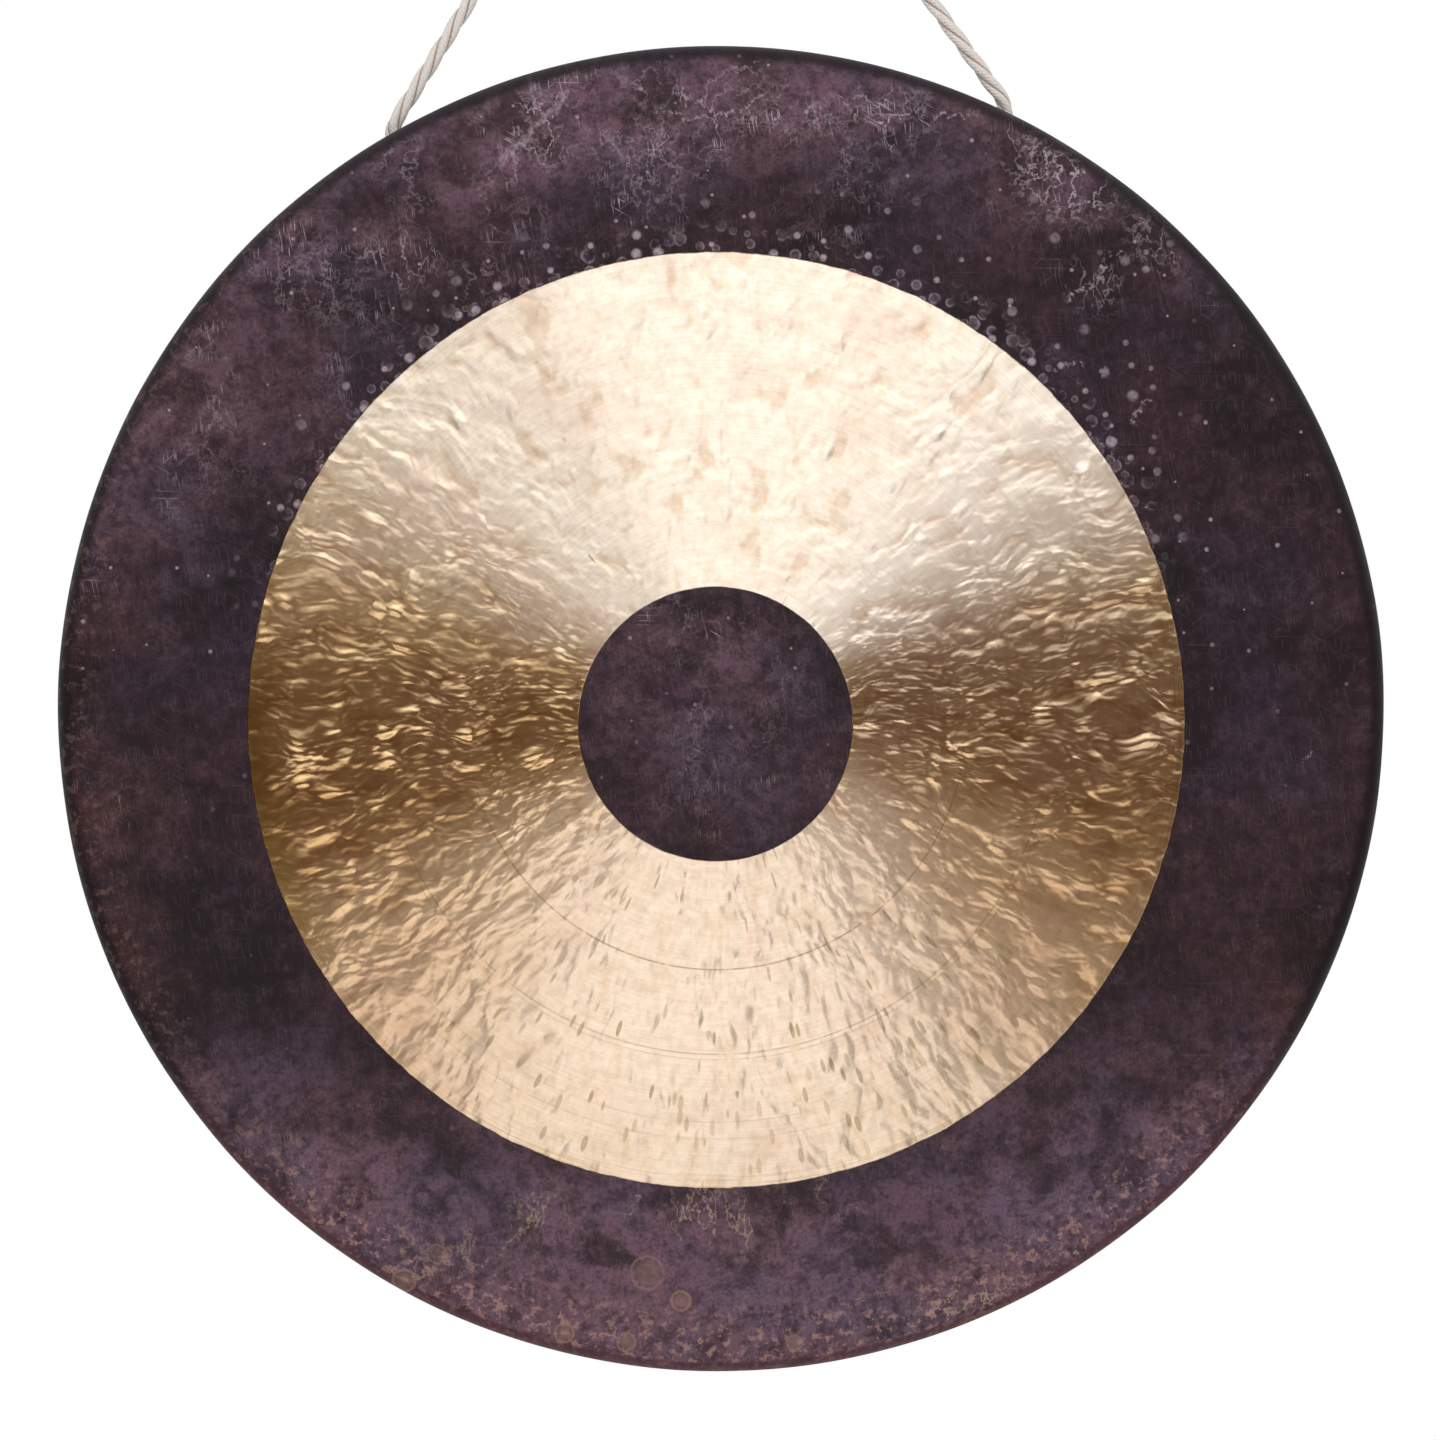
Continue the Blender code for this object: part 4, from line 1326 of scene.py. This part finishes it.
def bronze_front_material(disc):
    """Lathed bright ring between a dark middle and a dark outer ring."""
    material, builder = new_material("bronze_front")
    local = gong_coordinates(builder, disc)
    flat = builder.flattened(local)
    waver = builder.times(builder.noise(flat, 70.0, 3.0, 0.6), 0.0022)
    radius, middle_radius = [
        builder.length(builder.place(flat, (-right, -up, 0.0)))
        for right, up in (RING_OFFSET, MIDDLE_OFFSET)
    ]
    ring_edge = builder.math("ADD", radius, waver)
    middle_edge = builder.math("ADD", middle_radius, builder.times(waver, 0.5))
    bright = builder.times(
        builder.step(ring_edge, disc.ring_radius + 0.0006, disc.ring_radius + 0.0014, 1.0, 0.0),
        builder.step(middle_edge, disc.middle_radius + 0.0001, disc.middle_radius + 0.0009),
    )
    facing = builder.separated(builder.vector_math("NORMALIZE", flat))
    hammered = builder.effect("hammer_marks", flat, Waves=0.0055, Dents=0.0028)
    turned = builder.effect("lathe_space", flat, Around=4.0, Outward=900.0)["Vector"]
    streaked = builder.effect("lathe_space", flat, Around=26.0, Outward=20.0, Waver=0.10)["Vector"]
    olive = builder.times(
        builder.step(radius, 0.276, 0.300, 0.0, 0.60), builder.step(facing[0], -0.97, -0.82, 1.0, 0.0),
        builder.step(facing[1], 0.05, 0.25, 1.0, 0.0),
    )
    ring = {
        "flat": flat, "facing": facing, "radius": radius, "olive": olive, "dent_shade": hammered["Hollow"],
        "up": builder.step(facing[1], 0.28, 0.80),
        "down": builder.step(facing[1], -0.80, -0.30, 1.0, 0.0),
        "lathe": builder.noise(turned, 1.0, 2.0, 0.6),
        "streak": builder.noise(streaked, 1.0, 4.0, 0.65),
    }
    tone = ring_marks(builder, disc, ring, ring_tone(builder, disc, ring))

    colour, roughness, relief = oxide_skin(builder, disc, local)
    height = builder.times(
        hammered["Height"], builder.times_plus(bright, 0.55, 0.45), builder.times_plus(olive, -0.8, 1.0))
    height = builder.times_plus(builder.times(radius, bright), -FACE_DOMING, height)
    height = builder.times_plus(builder.times(ring["lathe"], bright), 0.00003, height)
    height = builder.times_plus(bright, -0.00006, height)
    lathed = builder.math("SUBTRACT", builder.step(ring["streak"], 0.3, 0.7, 0.36, 0.40), roughness)
    builder.surface(builder.math("ADD", height, relief), {
        "Base Color": builder.mix(bright, colour, tone), "Metallic": bright,
        "Roughness": builder.times_plus(lathed, bright, roughness), "Specular IOR Level": 0.15,
        "Anisotropic": builder.times(bright, 0.93), "Tangent": outward_tangent(builder, disc),
    })
    return material


def bronze_back_material(disc):
    """Dark forge skin with round hammer marks, on the inside of the rim and the back of the face."""
    material, builder = new_material("bronze_back")
    local = gong_coordinates(builder, disc)
    colour, roughness, relief = oxide_skin(builder, disc, builder.place(local, scale=(-1.0, 1.0, 1.0)))
    builder.surface(builder.times_plus(builder.noise(local, 38.0, 1.0, 0.5), 0.0011, relief), {
        "Base Color": colour, "Metallic": 0.0, "Roughness": roughness, "Specular IOR Level": 0.3,
    })
    return material


def cotton_material(cord):
    """Undyed cotton: fine yarns run round each strand against the lay, with painted shade in the grooves
    and between the yarns.
    """
    made = bpy.data.materials.get("laid_cotton")
    if made:
        return made
    material, builder = new_material("laid_cotton")
    place = builder.object_place()
    along = builder.attribute("along")
    parts = builder.separated(builder.combined(
        builder.attribute("around_cos"), builder.attribute("around_sin")))
    turn = builder.math("ARCTAN2", parts[1], parts[0])
    yarns = builder.math("SINE", builder.times_plus(along, 1500.0, builder.times(turn, 9.0)))
    yarn_place = builder.combined(
        builder.times(parts[0], 2.4), builder.times(parts[1], 2.4), builder.times(along, 170.0))
    yarn_shade = builder.noise(yarn_place, 1.6, 3.0, 0.6)
    fuzz = builder.noise(place, 1400.0, 3.0, 0.7)
    soil = builder.noise(place, 36.0, 4.0, 0.6)
    tone = builder.mix(builder.step(yarn_shade, 0.26, 0.50), COTTON_SHADED, cord.colour)
    # Painted shade between the yarns
    tone = builder.mix(builder.step(yarns, -1.0, -0.2, 0.14, 0.0), tone, COTTON_SHADE_BETWEEN_YARNS)
    # Painted shade in the grooves between the strands
    groove = builder.step(builder.attribute("groove"), 0.18, 0.33)
    shaded = builder.times(groove, builder.step(fuzz, 0.42, 0.60, 1.0, 0.65))
    tone = builder.mix(shaded, tone, COTTON_IN_GROOVE)
    tone = builder.mix(builder.step(soil, 0.52, 0.74, 0.0, 0.10), tone, COTTON_SOILED)
    tone = builder.mix(builder.step(fuzz, 0.30, 0.48, 0.08, 0.0), tone, COTTON_FUZZ)
    height = builder.times_plus(yarns, 0.00013, builder.times(fuzz, 0.00016))
    builder.surface(builder.times_plus(yarn_shade, 0.0004, height), {
        "Base Color": tone, "Roughness": 0.92, "Sheen Weight": 0.7, "Sheen Roughness": 0.6,
        "Specular IOR Level": 0.2,
    })
    return material


def steel_material():
    """Zinc plated steel: a dull bluish bloom, rubbed brighter inside the two bends."""
    material, builder = new_material("zinc_plated_steel")
    place = builder.object_place()
    smudge = builder.noise(place, 110.0, 4.0, 0.6)
    bloom = builder.noise(builder.place(place, (2.0, 0.0, 1.0)), 380.0, 3.0, 0.65)
    drawn = builder.noise(builder.place(place, scale=(900.0, 900.0, 90.0)), 1.0, 2.0, 0.5)
    rubbed = builder.highest(*[
        builder.step(builder.length_from(place, centre), 0.0150, 0.0175, 1.0, 0.0)
        for centre in ((0.0, 0.0, HOOK_WIRE_RADIUS - HOOK_BEND_RADIUS), tuple(HOOK_BEND_CENTRE))
    ])
    rubbed = builder.times(rubbed, builder.step(bloom, 0.35, 0.55, 0.5, 1.0))
    tone = builder.mix(builder.step(smudge, 0.35, 0.65), ZINC_DULL, ZINC)
    tone = builder.mix(builder.step(bloom, 0.52, 0.70, 0.0, 0.45), tone, ZINC_BLOOM)
    tone = builder.mix(rubbed, tone, ZINC_RUBBED)
    height = builder.times_plus(drawn, 0.000012, builder.times(bloom, 0.00002))
    builder.surface(height, {
        "Base Color": tone, "Metallic": 1.0,
        "Roughness": builder.times_plus(rubbed, -0.16, builder.step(smudge, 0.3, 0.7, 0.34, 0.50)),
    })
    return material


class CHAUGONG_OT_make_stage(bpy.types.Operator):
    """Makes the floor, the lights, the world and the camera"""

    bl_idname = "chau_gong.make_stage"
    bl_label = "Make stage"

    def execute(self, context):
        stage = context.scene.chau_gong_stage
        disc = context.scene.chau_gong_disc
        self.make_floor(stage)
        self.make_dark_card(stage, disc)
        self.make_world(context, stage)
        self.make_lights(context, stage, disc)
        self.make_camera(context, stage, disc)
        context.scene.view_settings.view_transform = "Standard"
        return {"FINISHED"}

    def make_floor(self, stage):
        shape = bmesh.new()
        bmesh.ops.create_circle(
            shape, cap_ends=True, segments=FLOOR_SIDES, radius=stage.floor_radius)
        bmesh.ops.translate(shape, verts=shape.verts[:], vec=(0.0, 0.0, stage.floor_height))
        material, builder = new_material("pale_floor")
        matte = builder.add("ShaderNodeBsdfDiffuse", {"Color": colour4(FLOOR_GREY)})
        white = builder.add("ShaderNodeEmission", {"Color": colour4(WHITE), "Strength": 1.0})
        path = builder.add("ShaderNodeLightPath").outputs
        far = builder.length(builder.flattened(builder.object_place()))
        near_mat = builder.step(far, 0.5 * stage.mat_radius, 0.97 * stage.mat_radius, 0.70, 1.0)
        seen = builder.times(path["Is Camera Ray"], near_mat)
        mirrored = builder.highest(path["Is Glossy Ray"], path["Is Transmission Ray"])
        seen = builder.times_plus(mirrored, MIRRORED_FLOOR, seen)
        joined = builder.add("ShaderNodeMixShader", {0: seen, 1: matte.outputs[0], 2: white.outputs[0]})
        builder.add("ShaderNodeOutputMaterial", {"Surface": joined.outputs[0]})
        new_piece("floor", shape, [material])

    def make_dark_card(self, stage, disc):
        """A curved brown card and mat, which the camera looks through and the bronze reflects."""
        centre = gong_centre(disc)
        low = stage.floor_height + MAT_ABOVE_FLOOR
        high = centre.z + stage.card_radius * math.tan(stage.card_reach)
        shape = bmesh.new()
        turned = Matrix.Rotation(-stage.card_sweep / 2.0, 4, "Z")
        corners = [
            shape.verts.new(turned @ Vector((0.0, -radius, z)))
            for radius, z in (
                (stage.mat_radius, low), (stage.card_radius, low), (stage.card_radius, high),
            )
        ]
        for ends in zip(corners, corners[1:]):
            shape.edges.new(ends)
        bmesh.ops.spin(
            shape, geom=shape.verts[:] + shape.edges[:], cent=(0.0, 0.0, 0.0), axis=(0.0, 0.0, 1.0),
            angle=stage.card_sweep, steps=CARD_STEPS,
        )
        material, builder = new_material("brown_card")
        matte = builder.add("ShaderNodeBsdfDiffuse", {"Color": colour4(stage.card_colour)})
        builder.add("ShaderNodeOutputMaterial", {"Surface": matte.outputs[0]})
        card = new_piece("dark_card", shape, [material])
        card.visible_camera = False

    def make_world(self, context, stage):
        world = bpy.data.worlds.new("studio")
        world.use_nodes = True
        world.node_tree.nodes.clear()
        builder = NodeBuilder(world.node_tree)
        path = builder.add("ShaderNodeLightPath").outputs
        seen = builder.highest(
            path["Is Camera Ray"], path["Is Glossy Ray"], path["Is Transmission Ray"])
        colour = builder.mix(seen, (stage.fill_level,) * 3, WHITE)
        background = builder.add("ShaderNodeBackground", {"Color": colour, "Strength": 1.0})
        builder.add("ShaderNodeOutputWorld", {"Surface": background.outputs[0]})
        context.scene.world = world

    def make_lights(self, context, stage, disc):
        """A wide soft bank above and in front, and a weaker one near the floor."""
        centre = gong_centre(disc)
        powers = (stage.key_power, stage.low_power)
        for (name, place, width, height), power in zip(LIGHT_BANKS, powers):
            light = bpy.data.lights.new(name, "AREA")
            light.shape = "RECTANGLE"
            light.size = width
            light.size_y = height
            light.energy = power
            lamp = bpy.data.objects.new(name, light)
            context.scene.collection.objects.link(lamp)
            lamp.location = centre + Vector(place)
            lamp.rotation_euler = (-Vector(place)).to_track_quat("-Z", "Y").to_euler()
            lamp.visible_camera = False

    def make_camera(self, context, stage, disc):
        """Square to the face, a little off its middle and rolled, as in the photograph."""
        roll = stage.camera_roll
        up = GONG_UP * math.cos(roll) + GONG_RIGHT * math.sin(roll)
        right = GONG_RIGHT * math.cos(roll) - GONG_UP * math.sin(roll)
        widest = gong_centre(disc) + GONG_BACK * shoulder_centre(disc)[1]
        middle = widest - right * CAMERA_OFF_RIGHT - up * CAMERA_OFF_UP
        data = bpy.data.cameras.new("camera")
        data.sensor_width = 36.0
        data.lens = data.sensor_width * stage.camera_distance / stage.view_height
        data.clip_end = 100.0
        camera = bpy.data.objects.new("camera", data)
        context.scene.collection.objects.link(camera)
        turned = Matrix((right, up, -GONG_BACK)).transposed().to_4x4()
        camera.matrix_world = Matrix.Translation(middle - GONG_BACK * stage.camera_distance) @ turned
        context.scene.camera = camera


class CHAUGONG_OT_make_disc(bpy.types.Operator):
    """Makes the hammered bronze disc with its turned-back rim and two cord holes"""

    bl_idname = "chau_gong.make_disc"
    bl_label = "Make gong disc"

    def execute(self, context):
        disc = context.scene.chau_gong_disc
        shape = shape_disc(disc)
        bmesh.ops.transform(shape, matrix=gong_matrix(disc), verts=shape.verts[:])
        piece = new_piece(
            "hammered_disc", shape, [bronze_front_material(disc), bronze_back_material(disc)],
        )
        cut_cord_holes(piece, disc)
        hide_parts("gong_disc")
        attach(piece, "gong")
        return {"FINISHED"}


class CHAUGONG_OT_tie_knots(bpy.types.Operator):
    """Ties the stopper knots that hold the cord's two ends inside the rim"""

    bl_idname = "chau_gong.tie_knots"
    bl_label = "Tie knots"

    def execute(self, context):
        cord = context.scene.chau_gong_cord
        disc = context.scene.chau_gong_disc
        stations = lay_stations(cord, smooth_route(cord_route(), CORD_STEP))
        knot = draw_knot_tight()
        for name, side, (_, end), turn in (
            ("knot_left", -1.0, stations[0], KNOT_TURNS[0]),
            ("knot_right", 1.0, stations[-1], KNOT_TURNS[1]),
        ):
            heading = end.col[2].xyz * side
            points = knot_route(disc, knot, end.translation, heading, side, turn)
            knotted = lay_stations(cord, smooth_route(points, KNOT_STEP), end.col[0].xyz)
            shape = sweep_laid_cord(cord, knotted, knot_sizes(knotted))
            piece = new_piece("tied_" + name, shape, [cotton_material(cord)])
            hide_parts(name)
            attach(piece, "gong")
        return {"FINISHED"}


class CHAUGONG_OT_make_cord(bpy.types.Operator):
    """Makes the laid cotton cord from one hole over the hook to the other"""

    bl_idname = "chau_gong.make_cord"
    bl_label = "Make cord"

    def execute(self, context):
        cord = context.scene.chau_gong_cord
        route = smooth_route(cord_route(), CORD_STEP)
        shape = sweep_laid_cord(cord, lay_stations(cord, route))
        piece = new_piece("laid_cord", shape, [cotton_material(cord)])
        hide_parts("cord")
        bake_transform(piece)
        return {"FINISHED"}


class CHAUGONG_OT_bend_hook(bpy.types.Operator):
    """Bends the round steel wire of the hook"""

    bl_idname = "chau_gong.bend_hook"
    bl_label = "Bend hook"

    def execute(self, context):
        shape = bmesh.new()
        ring = bmesh.ops.create_circle(shape, segments=HOOK_SIDES, radius=HOOK_WIRE_RADIUS)["verts"]
        extrude_through(shape, ring, hook_places())
        piece = new_piece("bent_hook", shape, [steel_material()], math.radians(60.0))
        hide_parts("s_hook")
        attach(piece, "hook")
        return {"FINISHED"}


class CHAUGONG_PT_parts(bpy.types.Panel):
    """Lists the gong's pieces, and the sizes and colours that they are made from"""

    bl_idname = "CHAUGONG_PT_parts"
    bl_label = "Chau gong"
    bl_space_type = "VIEW_3D"
    bl_region_type = "UI"
    bl_category = "Gong"

    def draw(self, context):
        for operator in OPERATORS:
            self.layout.operator(operator.bl_idname)
        for name, kind in SETTINGS.items():
            box = self.layout.box()
            box.label(text=kind.__doc__)
            for prop in kind.__annotations__:
                box.prop(getattr(context.scene, name), prop)


SETTINGS = {
    "chau_gong_stage": StageSettings,
    "chau_gong_disc": GongDiscSettings,
    "chau_gong_cord": CordSettings,
}
OPERATORS = (
    CHAUGONG_OT_make_stage,
    CHAUGONG_OT_tie_knots,
    CHAUGONG_OT_make_cord,
    CHAUGONG_OT_make_disc,
    CHAUGONG_OT_bend_hook,
)


def register():
    for kind in (*SETTINGS.values(), *OPERATORS, CHAUGONG_PT_parts):
        bpy.utils.register_class(kind)
    for name, kind in SETTINGS.items():
        setattr(bpy.types.Scene, name, bpy.props.PointerProperty(type=kind))


def unregister():
    for name in SETTINGS:
        delattr(bpy.types.Scene, name)
    for kind in reversed((*SETTINGS.values(), *OPERATORS, CHAUGONG_PT_parts)):
        bpy.utils.unregister_class(kind)


def main():
    register()
    for operator in OPERATORS:
        family, name = operator.bl_idname.split(".")
        getattr(getattr(bpy.ops, family), name)()


if __name__ == "__main__":
    main()
